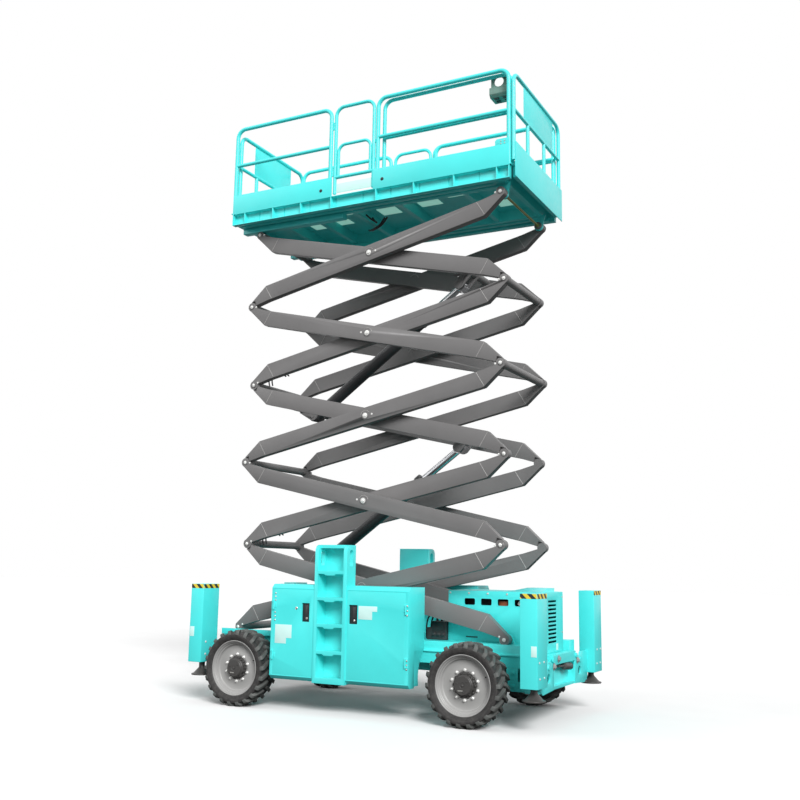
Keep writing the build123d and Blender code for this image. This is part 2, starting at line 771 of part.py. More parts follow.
def platform_frame():
    deck = box(deck_left_x, deck_right_x, -deck_half + 20, deck_half - 20, deck_top_z - deck_plate, deck_top_z)
    side = plate_x([(-deck_half, deck_bottom_z), (-deck_half, deck_bottom_z + 8), (-deck_half + 60, deck_bottom_z + 8),
                    (-deck_half + 60, deck_top_z - 8), (-deck_half, deck_top_z - 8), (-deck_half, deck_top_z),
                    (-deck_half + 70, deck_top_z), (-deck_half + 70, deck_bottom_z)], deck_left_x, deck_right_x)
    body = deck + side + mirrored(side)
    rib_count = 10
    for index in range(rib_count + 1):
        x = deck_left_x + 6 + index * (deck_right_x - deck_left_x - 12) / rib_count
        rib = box(x - 6, x + 6, -deck_half + 2, -deck_half + 62, deck_bottom_z + 4, deck_top_z - 4)
        body += rib + mirrored(rib)
    for x in (deck_left_x + 30, -1460, -960, -390, 240, 1090, deck_right_x - 120):
        body += box(x - 30, x + 30, -deck_half + 62, deck_half - 62, deck_bottom_z + 20, deck_top_z - 6)
    for y in (-outer_arm_y, -inner_arm_y, inner_arm_y, outer_arm_y):
        body += box(deck_left_x + 30, deck_right_x - 120, y - 30, y + 30, deck_bottom_z + 10, deck_top_z - 6)
    pin_x, pin_z = arm_point("outer", level_count, arm_length, 0)
    for sign in (-1, 1):
        for face in (outer_arm_y - half_thickness - bracket_gap - pin_bracket, outer_arm_y + half_thickness + bracket_gap):
            y0, y1 = sorted((sign * face, sign * (face + pin_bracket)))
            outline = [(pin_x - 90, deck_bottom_z + 40), (pin_x - 40, pin_z - 30), (pin_x + 40, pin_z - 30),
                       (pin_x + 90, deck_bottom_z + 40)]
            lug = plate_y(outline, y0, y1) + rod_y(pin_x, pin_z, y0, y1, boss_radius)
            body += lug - rod_y(pin_x, pin_z, y0 - 1, y1 + 1, pin_radius + pin_clearance)
        y0, y1 = sorted((sign * (inner_arm_y - half_thickness), sign * (inner_arm_y + half_thickness)))
        body += box(deck_left_x + 20, -500, y0, y1, pin_z + shoe_radius + seat_gap, deck_bottom_z + 12)
    return body


def toe_boards():
    """Main deck's kick plates, left out at the gates."""
    solids = []
    for x0, x1 in ((deck_left_x, left_rail_x + 40), (right_rail_x - 45, deck_right_x)):
        board = box(x0, x1, -deck_half, -deck_half + toe_wall, deck_top_z, toe_top_z)
        solids += both_sides(board)
    solids.append(box(deck_left_x, deck_left_x + toe_wall, -deck_half + toe_wall, deck_half - toe_wall, deck_top_z, toe_top_z))
    return solids


def platform_rails():
    y = -deck_half + rail_tube + toe_wall + 1
    foot = deck_top_z + seat_gap
    left_panel = rail_panel(deck_left_x + 45, left_rail_x, y, foot)
    for z in gate_hinge_heights:
        for low in (z - hinge_half - seat_gap - hinge_length, z + hinge_half + seat_gap):
            left_panel += rod_z(gate_hinge_x, y, low, low + hinge_length, hinge_radius)
            left_panel += box(left_rail_x, gate_hinge_x, y - 4, y + 4, low, low + hinge_length)
    near = [left_panel, rail_panel(right_rail_x, deck_right_x - 30, y, foot)]
    solids = near + [mirrored(panel) for panel in near]
    end_y = -deck_half + 90
    x = deck_left_x + 28
    end = bent_tube([(x, end_y, foot), (x, end_y, rail_top - rail_tube), (x, -end_y, rail_top - rail_tube), (x, -end_y, foot)])
    end += rail_bar((x, end_y, rail_mid), (x, -end_y, rail_mid))
    end += box(x - 2, x + 2, -420, 420, rail_mid, rail_top - rail_tube)
    solids.append(end)
    return solids


def extension_deck():
    floor = deck_top_z + extension_lift
    deck = box(extension_left_x, extension_right_x, -extension_half + 40, extension_half - 40, floor, floor + 10)
    for y in (-extension_half + 10, extension_half - 60):
        deck += box(extension_left_x, extension_right_x, y, y + 50, floor, floor + extension_kerb)
        deck += box(extension_left_x + 20, extension_left_x + 320, y, y + 50, deck_top_z + seat_gap, floor + 1)
        deck += box(deck_right_x - 320, deck_right_x - 20, y, y + 50, deck_top_z + seat_gap, floor + 1)
    deck += box(extension_right_x - 8, extension_right_x, -deck_half, deck_half, deck_bottom_z + 4, toe_top_z + 90)
    deck += box(deck_right_x + 8, extension_right_x, -extension_half + 40, extension_half - 40, deck_bottom_z + 30, floor + 5)
    return deck


def extension_rails():
    y = -extension_half + 35
    foot = deck_top_z + extension_lift + extension_kerb + seat_gap
    near = rail_panel(extension_left_x + 25, extension_right_x - 80, y, foot, rail_top - 46, rail_mid)
    x = extension_right_x - 8 - rail_tube - seat_gap
    end_y = -deck_half + rail_tube
    end = bent_tube([(x, end_y, foot), (x, end_y, rail_top - rail_tube), (x, -end_y, rail_top - rail_tube), (x, -end_y, foot)])
    end += rail_bar((x, end_y, rail_mid), (x, -end_y, rail_mid))
    end += box(x - 2, x + 2, -580, 400, rail_mid, rail_top - rail_tube)
    for y_post in (-330, 230):
        end += rail_bar((x, y_post, foot), (x, y_post, rail_mid), 14)
    return [near, mirrored(near), end]


def gate():
    """Near-side gate, a tall tube frame with a lower hoop."""
    y = -deck_half + rail_tube + toe_wall + 1
    x0 = gate_left_x
    x1 = gate_right_x
    foot = deck_top_z + 60
    frame = bent_tube([(x0, y, foot), (x0, y, rail_top - rail_tube), (x1, y, rail_top - rail_tube), (x1, y, foot)])
    hoop = bent_tube([(x0 + 46, y, foot + 40), (x0 + 46, y, rail_mid), (x1 - 46, y, rail_mid), (x1 - 46, y, foot + 40)], bend=90)
    bar = rail_bar((x0, y, foot + 40), (x1, y, foot + 40), rail_tube * 0.9)
    body = frame + bar + hoop
    for z in gate_hinge_heights:
        body += rod_z(gate_hinge_x, y, z - hinge_half, z + hinge_half, hinge_radius)
        body += box(gate_hinge_x, x0, y - 4, y + 4, z - hinge_half, z + hinge_half)
    return body


def control_box():
    x1 = extension_right_x - 90
    y0 = -extension_half + 35 + rail_tube + seat_gap
    plate_top = rail_top - control_drop
    plate_low = plate_top - control_plate_height
    plate = box(x1 - 150, x1, y0, y0 + 6, plate_low, plate_top)
    plate -= rod_y(x1 - 75, plate_top - 80, y0 - 1, y0 + 7, 32)
    case = box(x1 - 170, x1, y0, y0 + 150, plate_low - control_box_height, plate_low)
    return plate + case


for level in range(1, level_count + 1):
    save(f"inner_arms_{level}", arm_pair("inner", level))
    save(f"outer_arms_{level}", arm_pair("outer", level))

save("lower_cylinder_barrel", [lift_barrel(1)])
save("lower_cylinder_rod", [lift_rod(1)])
save("upper_cylinder_barrel", [lift_barrel(3)])
save("upper_cylinder_rod", [lift_rod(3)])

for end, axle_x in (("front", front_axle_x), ("rear", rear_axle_x)):
    for name, side in (("near", -1), ("far", 1)):
        save(f"{end}_{name}_tyre", [tyre(axle_x, side)])
        save(f"{end}_{name}_rim", rim(axle_x, side))
save("front_axle", [axle_beam(front_axle_x, True)])
save("rear_axle", [axle_beam(rear_axle_x, False)])
save("near_knuckle", [knuckle(-1)])
save("far_knuckle", [knuckle(1)])
save("tie_rod", [tie_rod()])

save("chassis", [chassis()])
near_cabinet = cabinet() - ladder_pocket()
save("near_cabinet", [near_cabinet])
save("far_cabinet", [mirrored(near_cabinet)])
near_ladder = ladder()
save("ladders", both_sides(near_ladder))
for name, opening, hinge in zip(("left", "right"), door_openings(), door_hinges()):
    leaf = cabinet_door(*opening, *hinge)
    save(f"near_{name}_door", [leaf])
    save(f"far_{name}_door", [mirrored(leaf)])
save("engine_cover", [engine_cover()])
save("engine_block", [engine_block()])

housings = []
for end, x0, bottom in (("front", outrigger_left_x, outrigger_bottom_z), ("rear", rear_outrigger_x, outrigger_bottom_z + 65)):
    for name, side in (("near", -1), ("far", 1)):
        housings.append(outrigger_housing(x0, side, bottom))
        save(f"{end}_{name}_jack", [outrigger_jack(x0, side, bottom)])
save("outrigger_housings", housings)

save("platform_frame", [platform_frame()])
save("toe_boards", toe_boards())
save("platform_rails", platform_rails())
save("extension_deck", [extension_deck()])
save("extension_rails", extension_rails())
save("near_gate", [gate()])
save("far_gate", [mirrored(gate())])
save("control_box", [control_box()])
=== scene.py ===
import json
from math import cos, pi, radians, sin

import bmesh
import bpy
from mathutils import Matrix, Vector


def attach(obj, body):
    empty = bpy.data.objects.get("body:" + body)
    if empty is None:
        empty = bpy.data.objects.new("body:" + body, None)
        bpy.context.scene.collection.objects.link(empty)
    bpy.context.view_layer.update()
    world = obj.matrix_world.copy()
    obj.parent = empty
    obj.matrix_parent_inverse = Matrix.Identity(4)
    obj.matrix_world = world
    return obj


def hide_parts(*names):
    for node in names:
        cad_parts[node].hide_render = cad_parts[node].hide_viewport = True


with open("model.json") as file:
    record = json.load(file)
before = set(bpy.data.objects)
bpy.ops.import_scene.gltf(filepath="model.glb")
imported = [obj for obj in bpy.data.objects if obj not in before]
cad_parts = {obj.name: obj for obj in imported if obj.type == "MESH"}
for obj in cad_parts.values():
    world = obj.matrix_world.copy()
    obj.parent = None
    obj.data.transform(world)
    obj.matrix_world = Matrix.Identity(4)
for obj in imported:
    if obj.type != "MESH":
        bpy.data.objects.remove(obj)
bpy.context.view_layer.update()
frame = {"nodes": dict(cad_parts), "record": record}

# A rough-terrain scissor lift in metres: +X towards the engine end, -Y the near side, +Z up.

both_sides = (("near", -1), ("far", 1))

# Sizes shared with the part
level_count = 5
arm_length = 3.474
theta = radians(16.35)
pin_column_x = 1.605
first_pin_z = 0.847
level_rise = arm_length * sin(theta)
left_column_x = pin_column_x - arm_length * cos(theta)
top_pin_z = first_pin_z + level_count * level_rise
outer_arm_y = 0.651
inner_arm_y = 0.546
half_thickness = 0.045
bevel_length = 0.260

wheel_y = 0.993
front_axle_x = 1.365
rear_axle_x = -1.455
rim_radius = 0.300
axle_z = 0.420

cabinet_left_x = -0.983
cabinet_right_x = 0.744
cabinet_face_y = 1.100
cabinet_top_z = 1.367
cabinet_bottom_z = 0.335
cabinet_chamfer = 0.040
part_ladder_left_x = -0.407
part_ladder_right_x = 0.133
part_ladder_step = 0.268
part_step_depth = 0.060
ladder_depth = 0.190

outrigger_inner_y = 0.819
outrigger_outer_y = 1.112
outrigger_length = 0.180
outrigger_right_x = 1.973
outrigger_left_x = -2.152
outrigger_top_z = 1.343

engine_left_x = 0.923
engine_right_x = 1.958
engine_half = 0.415
engine_top_z = 1.338

deck_left_x = -2.014
deck_right_x = 1.754
deck_half = 0.808
deck_bottom_z = 5.836
deck_top_z = 5.990
toe_top_z = 6.232
rail_top = 7.100
rail_mid = 6.640
rail_tube = 0.025
rail_bend = 0.110
left_rail_x = -0.582
right_rail_x = 0.074
gate_left_x = -0.514
gate_right_x = 0.018
part_rib_count = 10
extension_left_x = 0.103
extension_right_x = 1.831
extension_half = 0.752

# Sizes that the photo gives otherwise than the part
ladder_left_x = -0.420
ladder_right_x = -0.012
ladder_front_y = -1.110
ladder_step = 0.2845
first_step_z = 0.386
step_count = 5
rear_outrigger_shift = 0.032
rear_outrigger_x = outrigger_left_x + rear_outrigger_shift
rear_outrigger_drop = 0.042
window_count = 4
first_window_x = 1.137
window_pitch = 0.193
window_z = 1.222
hood_cut = 0.130
hood_reach = 0.040
end_plate_drop = 0.075
side_rail_top = 7.158
side_rail_left_x = -2.002
side_rail_right_x = 1.740
gate_bar_z = 6.229
gate_hinge_x = -0.548
gate_hinge_heights = (6.300, 6.900)
rib_places = (-1.830, -1.402, -0.988, -0.552, 0.068, 0.566, 1.077, 1.600)
rib_depth = 0.060
latch_heights = (0.966, 1.168)
left_latch_x = (-0.581, -0.482)
right_latch_x = (0.020, 0.125)
plate_skin = 0.0012
carcass_radius = 0.386
tread_bars = 22
tyre_wall_ribs = ((0.318, 0.1355, 0.0022), (0.330, 0.1412, 0.0022), (0.362, 0.1482, 0.0018))
wheel_studs = 10


# Shader building

def set_inputs(node, **values):
    """Fill a node's inputs. An underscore stands for a space in an input's name."""
    for key, value in values.items():
        node.inputs[key.replace("_", " ")].default_value = value
    return node


def added(tree, kind, **values):
    return set_inputs(tree.nodes.new(kind), **values)


def wired(tree, *pairs):
    """Link each pair of an output and an input."""
    for start, end in pairs:
        tree.links.new(start, end)


def shader_tree(name):
    """A new material with its shader and the object coordinates that its patterns read."""
    material = bpy.data.materials.new(name)
    material.use_nodes = True
    nodes = material.node_tree.nodes
    coordinates = nodes.new("ShaderNodeTexCoord")
    return material, material.node_tree, nodes["Principled BSDF"], coordinates.outputs["Object"]


def noise(tree, place, scale, detail, rough=0.55):
    node = added(tree, "ShaderNodeTexNoise", Scale=scale, Detail=detail, Roughness=rough)
    tree.links.new(place, node.inputs["Vector"])
    return node.outputs["Fac"]


def spread(tree, value, low, high, to_low=0.0, to_high=1.0):
    """A value's range carried over to another."""
    node = added(tree, "ShaderNodeMapRange", From_Min=low, From_Max=high, To_Min=to_low, To_Max=to_high)
    tree.links.new(value, node.inputs["Value"])
    return node.outputs["Result"]


def patchy(tree, place, scale, detail, to_low=0.0, to_high=1.0):
    """Noise that wanders between two values."""
    return spread(tree, noise(tree, place, scale, detail), 0.3, 0.7, to_low, to_high)


def mixed(tree, factor, first, second):
    """Two colours, given or linked, mixed by a factor."""
    node = tree.nodes.new("ShaderNodeMix")
    node.data_type = "RGBA"
    tree.links.new(factor, node.inputs["Factor"])
    for socket, colour in (("A", first), ("B", second)):
        target = [s for s in node.inputs if s.name == socket and s.type == "RGBA"][0]
        if isinstance(colour, tuple):
            target.default_value = (*colour, 1.0)
        else:
            tree.links.new(colour, target)
    return [s for s in node.outputs if s.type == "RGBA"][0]


def worked_out(tree, operation, first, second):
    """A sum, product or the like of a linked value and a second one, given or linked."""
    node = tree.nodes.new("ShaderNodeMath")
    node.operation = operation
    tree.links.new(first, node.inputs[0])
    if isinstance(second, float):
        node.inputs[1].default_value = second
    else:
        tree.links.new(second, node.inputs[1])
    return node.outputs[0]


def bumped(tree, shader, height, strength, distance=0.002):
    node = added(tree, "ShaderNodeBump", Strength=strength, Distance=distance)
    wired(tree, (height, node.inputs["Height"]), (node.outputs["Normal"], shader.inputs["Normal"]))


def axes_of(tree, place):
    node = tree.nodes.new("ShaderNodeSeparateXYZ")
    tree.links.new(place, node.inputs["Vector"])
    return node.outputs


def scaled(colour, factor):
    return tuple(min(1.0, part * factor) for part in colour)


def finish_paint(name, colour, rough, variation=0.05, dust=0.0, grain=260.0, bump=0.02,
                 metallic=0.0, specular=0.5, coat=0.0):
    """Sprayed paint: cloudy colour, uneven gloss, a fine skin and, low down, a little dust."""
    material, tree, shader, place = shader_tree(name)
    clouds = patchy(tree, place, 2.3, 4.0)
    tone = mixed(tree, clouds, scaled(colour, 1.0 - variation), scaled(colour, 1.0 + variation))
    if dust:
        low = spread(tree, axes_of(tree, place)["Z"], 0.2, 1.1, dust, 0.0)
        tone = mixed(tree, low, tone, (0.30, 0.27, 0.23))
    gloss = patchy(tree, place, 17.0, 5.0, rough - 0.05, rough + 0.07)
    wired(tree, (tone, shader.inputs["Base Color"]), (gloss, shader.inputs["Roughness"]))
    set_inputs(shader, Metallic=metallic, Specular_IOR_Level=specular,
               Coat_Weight=coat, Coat_Roughness=0.12)
    bumped(tree, shader, noise(tree, place, grain, 2.0), bump)
    return material


def turquoise_paint():
    return finish_paint("turquoise_paint", (0.070, 0.800, 0.790), 0.36, 0.035, dust=0.05, coat=0.15)


def arm_paint():
    return finish_paint("arm_paint", (0.170, 0.166, 0.166), 0.46, 0.06, grain=330.0, bump=0.05, specular=0.4)


def black_paint():
    return finish_paint("black_paint", (0.030, 0.031, 0.033), 0.42, 0.2, dust=0.12, grain=300.0, bump=0.06)


def rim_paint():
    return finish_paint("rim_paint", (0.330, 0.330, 0.325), 0.36, 0.06, dust=0.06, specular=0.6)


def control_paint():
    return finish_paint("control_paint", (0.190, 0.320, 0.275), 0.5, 0.08, grain=420.0, bump=0.07)


def chrome_finish():
    return finish_paint("chrome_finish", (0.62, 0.63, 0.65), 0.14, 0.03, grain=900.0, bump=0.01, metallic=1.0)


def zinc_finish():
    return finish_paint("zinc_finish", (0.62, 0.61, 0.58), 0.34, 0.10, grain=500.0, bump=0.05, metallic=1.0)


def bright_zinc():
    return finish_paint("bright_zinc", (0.800, 0.800, 0.780), 0.30, 0.06,
                        grain=500.0, bump=0.03, metallic=0.35)


def label_finish():
    return finish_paint("label_finish", (0.62, 0.90, 0.86), 0.33, 0.04, grain=80.0, bump=0.01)


def painted_glow_sheet():
    """Floor sheet with a painted glow: its emission stands in for daylight from above shining through."""
    material = finish_paint("painted_glow_sheet", (0.420, 0.780, 0.680), 0.5, 0.12)
    shader = material.node_tree.nodes["Principled BSDF"]
    # Painted light: the emission makes the sheet glow though it is no lamp.
    set_inputs(shader, Emission_Color=(0.300, 0.620, 0.520, 1), Emission_Strength=0.55)
    return material


def worn_tread():
    """Scuffed, paler rubber on the tread bars."""
    return finish_paint("worn_tread", (0.085, 0.090, 0.086), 0.62, 0.45, grain=190.0, bump=0.25)


def seam_grey():
    return finish_paint("seam_grey", (0.400, 0.390, 0.380), 0.38, 0.15, grain=500.0, bump=0.3)


def tube_yellow():
    return finish_paint("tube_yellow", (0.230, 0.260, 0.060), 0.42, 0.15)


# Near-black paint for painted shade: sheets and strips put where hollows and slots lie in shade.
def painted_shade_finish():
    return finish_paint("painted_shade_finish", (0.012, 0.014, 0.015), 0.6, 0.3)


def rust_orange():
    return finish_paint("rust_orange", (0.300, 0.075, 0.025), 0.5, 0.25)


def red_plastic():
    return finish_paint("red_plastic", (0.500, 0.020, 0.015), 0.35, 0.06)


def hose_rubber():
    return finish_paint("hose_rubber", (0.022, 0.022, 0.023), 0.5, 0.25, grain=600.0, bump=0.2)


def tyre_rubber():
    """Dark rubber with scuffed, paler high places."""
    material, tree, shader, place = shader_tree("tyre_rubber")
    scuffs = spread(tree, noise(tree, place, 22.0, 6.0, 0.65), 0.42, 0.72)
    tone = mixed(tree, scuffs, (0.028, 0.027, 0.027), (0.058, 0.055, 0.052))
    gloss = patchy(tree, place, 9.0, 4.0, 0.52, 0.74)
    wired(tree, (tone, shader.inputs["Base Color"]), (gloss, shader.inputs["Roughness"]))
    set_inputs(shader, Specular_IOR_Level=0.45)
    bumped(tree, shader, noise(tree, place, 190.0, 4.0), 0.22)
    return material


def hazard_stripes():
    """Slanted black and yellow bands round an outrigger's top."""
    material, tree, shader, place = shader_tree("hazard_stripes")
    axes = axes_of(tree, place)
    across = worked_out(tree, "ADD", axes["X"], axes["Y"])
    slant = worked_out(tree, "ADD", across, axes["Z"])
    phase = worked_out(tree, "PINGPONG", slant, 0.05)
    band = spread(tree, phase, 0.0245, 0.0255)
    yellow = mixed(tree, patchy(tree, place, 30.0, 4.0), (0.74, 0.56, 0.03), (0.84, 0.66, 0.06))
    tone = mixed(tree, band, (0.020, 0.020, 0.021), yellow)
    gloss = patchy(tree, place, 40.0, 3.0, 0.30, 0.42)
    wired(tree, (tone, shader.inputs["Base Color"]), (gloss, shader.inputs["Roughness"]))
    bumped(tree, shader, noise(tree, place, 400.0, 2.0), 0.02, 0.001)
    return material


paint = turquoise_paint()
arm_grey = arm_paint()
black = black_paint()
rim_grey = rim_paint()
control_grey = control_paint()
chrome = chrome_finish()
zinc = zinc_finish()
bright = bright_zinc()
pale_label = label_finish()
painted_glow = painted_glow_sheet()
tread = worn_tread()
seam = seam_grey()
tube_green = tube_yellow()
painted_shade = painted_shade_finish()
orange = rust_orange()
red = red_plastic()
hose_black = hose_rubber()
rubber = tyre_rubber()
stripes = hazard_stripes()


# Mesh building

def in_scene(name, data):
    """A new object in the scene."""
    thing = bpy.data.objects.new(name, data)
    bpy.context.scene.collection.objects.link(thing)
    return thing


def finished(name, shapes, material, body, sharp=35):
    """Turn shapes into one named piece that rides on a body."""
    mesh = bpy.data.meshes.new(name)
    shapes.to_mesh(mesh)
    shapes.free()
    return placed(name, mesh, material, body, sharp)


def placed(name, mesh, material, body, sharp):
    mesh.materials.clear()
    mesh.materials.append(material)
    mesh.shade_smooth()
    mesh.set_sharp_from_angle(angle=radians(sharp))
    piece = in_scene(name, mesh)
    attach(piece, body)
    return piece


def dressed(node, shapes, material, sharp=40):
    """A piece that stands in for a CAD node."""
    piece = finished(f"{node}_dressed", shapes, material, body_of_node[node], sharp)
    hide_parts(node)


def rounded_edges(shapes, edges, size, segments=2, profile=0.6):
    bmesh.ops.bevel(shapes, geom=edges, offset=size, offset_type="OFFSET", segments=segments, profile=profile,
                    affect="EDGES", clamp_overlap=True)


def bevelled(shapes, faces, size):
    """Round the edges of the faces just added."""
    if size <= 0:
        return
    edges = {edge for face in faces for edge in face.edges
             if edge.is_manifold and edge.calc_face_angle(0) > 0.5}
    rounded_edges(shapes, list(edges), size)


def corner_of(axis, first, second, along):
    """A point from its place along an axis and its two other coordinates in the order X, Y, Z."""
    return {"x": (along, first, second), "y": (first, along, second), "z": (first, second, along)}[axis]


def prism(shapes, outline, axis, low, high, bevel):
    """Extrude an outline along an axis."""
    bottom = [shapes.verts.new(corner_of(axis, a, b, low)) for a, b in outline]
    top = [shapes.verts.new(corner_of(axis, a, b, high)) for a, b in outline]
    faces = [shapes.faces.new(bottom), shapes.faces.new(top[::-1])]
    count = len(outline)
    for index in range(count):
        following = (index + 1) % count
        faces.append(shapes.faces.new([bottom[following], bottom[index], top[index], top[following]]))
    bmesh.ops.recalc_face_normals(shapes, faces=faces)
    bevelled(shapes, faces, bevel)


def side_prism(shapes, outline, side, first, second, bevel):
    """Extrude an outline between two distances from the middle on one side."""
    low, high = sorted((side * first, side * second))
    prism(shapes, outline, "y", low, high, bevel)


def around(middle, half):
    """The range that reaches as far to both sides of its middle."""
    return middle - half, middle + half


def block(shapes, x, y, z, bevel):
    x0, x1 = sorted(x)
    y0, y1 = sorted(y)
    z0, z1 = sorted(z)
    prism(shapes, [(x0, y0), (x1, y0), (x1, y1), (x0, y1)], "z", z0, z1, bevel)


def turned(shapes, centre, direction, profile, count):
    """Revolve (radius, along) points about a direction through a centre."""
    axis = Vector(direction).normalized()
    side = axis.orthogonal().normalized()
    other = axis.cross(side)
    rings = []
    for radius, along in profile:
        middle = Vector(centre) + axis * along
        if radius < 1e-6:
            rings.append([shapes.verts.new(middle)])
            continue
        ring = []
        for i in range(count):
            angle = 2 * pi * i / count
            away = side * (radius * cos(angle))
            ring.append(shapes.verts.new(middle + away + other * (radius * sin(angle))))
        rings.append(ring)
    faces = []
    for ring, following in zip(rings, rings[1:]):
        for i in range(count):
            j = (i + 1) % count
            corners = []
            for near, index in ((ring, i), (ring, j), (following, j), (following, i)):
                vertex = near[index % len(near)]
                if vertex not in corners:
                    corners.append(vertex)
            if len(corners) > 2:
                faces.append(shapes.faces.new(corners))
    bmesh.ops.recalc_face_normals(shapes, faces=faces)


def blocks_piece(name, boxes, material, body):
    """A piece of blocks, each given as its x, y and z ranges and its edges' rounding."""
    shapes = bmesh.new()
    for x, y, z, bevel in boxes:
        block(shapes, x, y, z, bevel)
    finished(name, shapes, material, body)


def turned_piece(name, centre, direction, profile, count, material, body, sharp=35):
    """A piece of one revolved profile."""
    shapes = bmesh.new()
    turned(shapes, centre, direction, profile, count)
    finished(name, shapes, material, body, sharp)


def round_rect(width, height, corner, steps=5):
    """Outline of a rounded rectangle about the origin."""
    outline = []
    for turn, (sx, sy) in enumerate(((1, 1), (-1, 1), (-1, -1), (1, -1))):
        for step in range(steps + 1):
            angle = pi / 2 * (turn + step / steps)
            outline.append((sx * (width / 2 - corner) + corner * cos(angle),
                            sy * (height / 2 - corner) + corner * sin(angle)))
    return outline


def moved(outline, first, second):
    return [(a + first, b + second) for a, b in outline]


# Geometry Nodes trees

def new_tree(name, **inputs):
    """A tree with a geometry input and output and the named inputs, and the sockets' identifiers."""
    tree = bpy.data.node_groups.new(name, "GeometryNodeTree")
    tree.interface.new_socket(name="Geometry", in_out="INPUT", socket_type="NodeSocketGeometry")
    keys = {}
    for key, kind in inputs.items():
        title = key.replace("_", " ")
        socket = tree.interface.new_socket(name=title, in_out="INPUT", socket_type=f"NodeSocket{kind}")
        keys[title] = socket.identifier
    tree.interface.new_socket(name="Geometry", in_out="OUTPUT", socket_type="NodeSocketGeometry")
    result = tree.nodes.new("NodeGroupOutput").inputs["Geometry"]
    return tree, tree.nodes.new("NodeGroupInput").outputs, result, keys


def led_through(tree, start, *steps):
    """Lead geometry through nodes in a row and give back the last one's output."""
    for step in steps:
        tree.links.new(start, step.inputs[0])
        start = step.outputs[0]
    return start


def close_tree(tree, given, result, shapes):
    """Realize what was made and give it its material."""
    real = tree.nodes.new("GeometryNodeRealizeInstances")
    coat = tree.nodes.new("GeometryNodeSetMaterial")
    wired(tree, (given["Material"], coat.inputs["Material"]), (led_through(tree, shapes, real, coat), result))


def tube_ends(tree, given, tube):
    """The round profile that a tube or hose has, and its closed ends."""
    ring = tree.nodes.new("GeometryNodeCurvePrimitiveCircle")
    set_inputs(tube, Fill_Caps=True)
    wired(tree, (given["Sides"], ring.inputs["Resolution"]), (given["Radius"], ring.inputs["Radius"]),
          (ring.outputs["Curve"], tube.inputs["Profile Curve"]))


def tube_tree():
    """Tubes along the edges of a mesh, with their corners rounded to a bend radius."""
    tree, given, result, keys = new_tree("tubes_along_routes", Radius="Float", Bend="Float",
                                         Bend_Steps="Int", Sides="Int", Material="Material")
    line = tree.nodes.new("GeometryNodeMeshToCurve")
    fillet = tree.nodes.new("GeometryNodeFilletCurve")
    tube = tree.nodes.new("GeometryNodeCurveToMesh")
    fillet.mode = "POLY"
    set_inputs(fillet, Limit_Radius=True)
    wired(tree, (given["Bend"], fillet.inputs["Radius"]), (given["Bend Steps"], fillet.inputs["Count"]))
    tube_ends(tree, given, tube)
    close_tree(tree, given, result, led_through(tree, given["Geometry"], line, fillet, tube))
    return tree, keys


def hose_tree():
    """Smooth hoses through the vertices of a mesh's edges."""
    tree, given, result, keys = new_tree("hoses_through_points", Radius="Float", Sides="Int",
                                         Step="Float", Material="Material")
    line = tree.nodes.new("GeometryNodeMeshToCurve")
    kind = tree.nodes.new("GeometryNodeCurveSplineType")
    even = tree.nodes.new("GeometryNodeResampleCurve")
    tube = tree.nodes.new("GeometryNodeCurveToMesh")
    kind.spline_type = "CATMULL_ROM"
    even.mode = "LENGTH"
    tree.links.new(given["Step"], even.inputs["Length"])
    tube_ends(tree, given, tube)
    close_tree(tree, given, result, led_through(tree, given["Geometry"], line, kind, even, tube))
    return tree, keys


def named_value(tree, name, kind):
    node = tree.nodes.new("GeometryNodeInputNamedAttribute")
    node.data_type = kind
    set_inputs(node, Name=name)
    return node.outputs["Attribute"]


def lifted(tree, shape, height):
    """A shape moved up by a height, given or linked."""
    move = tree.nodes.new("GeometryNodeTransform")
    vector = tree.nodes.new("ShaderNodeCombineXYZ")
    if isinstance(height, float):
        vector.inputs["Z"].default_value = height
    else:
        tree.links.new(height, vector.inputs["Z"])
    tree.links.new(vector.outputs["Vector"], move.inputs["Translation"])
    return led_through(tree, shape.outputs["Mesh"], move)


def fastener_tree():
    """A hexagonal head on a washer at every point, turned along its direction and scaled by its size."""
    tree, given, result, keys = new_tree("bolt_heads_on_points", Head_Height="Float", Washer="Float",
                                         Material="Material")
    washer_depth = 0.22
    washer = added(tree, "GeometryNodeMeshCone", Vertices=18, Radius_Top=1.55, Depth=washer_depth)
    head = added(tree, "GeometryNodeMeshCone", Vertices=6, Radius_Top=1.0, Radius_Bottom=1.0)
    crown = added(tree, "GeometryNodeMeshCone", Vertices=6, Radius_Top=0.80, Radius_Bottom=1.0, Depth=0.12)
    joined = tree.nodes.new("GeometryNodeJoinGeometry")
    spots = tree.nodes.new("GeometryNodeInstanceOnPoints")
    facing = tree.nodes.new("FunctionNodeAlignRotationToVector")
    facing.axis = "Z"
    wired(tree, (given["Washer"], washer.inputs["Radius Bottom"]),
          (given["Head Height"], head.inputs["Depth"]))
    crown_height = worked_out(tree, "ADD", given["Head Height"], washer_depth)
    for shape in (washer.outputs["Mesh"], lifted(tree, head, 0.20), lifted(tree, crown, crown_height)):
        tree.links.new(shape, joined.inputs["Geometry"])
    wired(tree, (given["Geometry"], spots.inputs["Points"]),
          (joined.outputs["Geometry"], spots.inputs["Instance"]),
          (named_value(tree, "direction", "FLOAT_VECTOR"), facing.inputs["Vector"]),
          (facing.outputs["Rotation"], spots.inputs["Rotation"]),
          (named_value(tree, "size", "FLOAT"), spots.inputs["Scale"]))
    close_tree(tree, given, result, spots.outputs["Instances"])
    return tree, keys


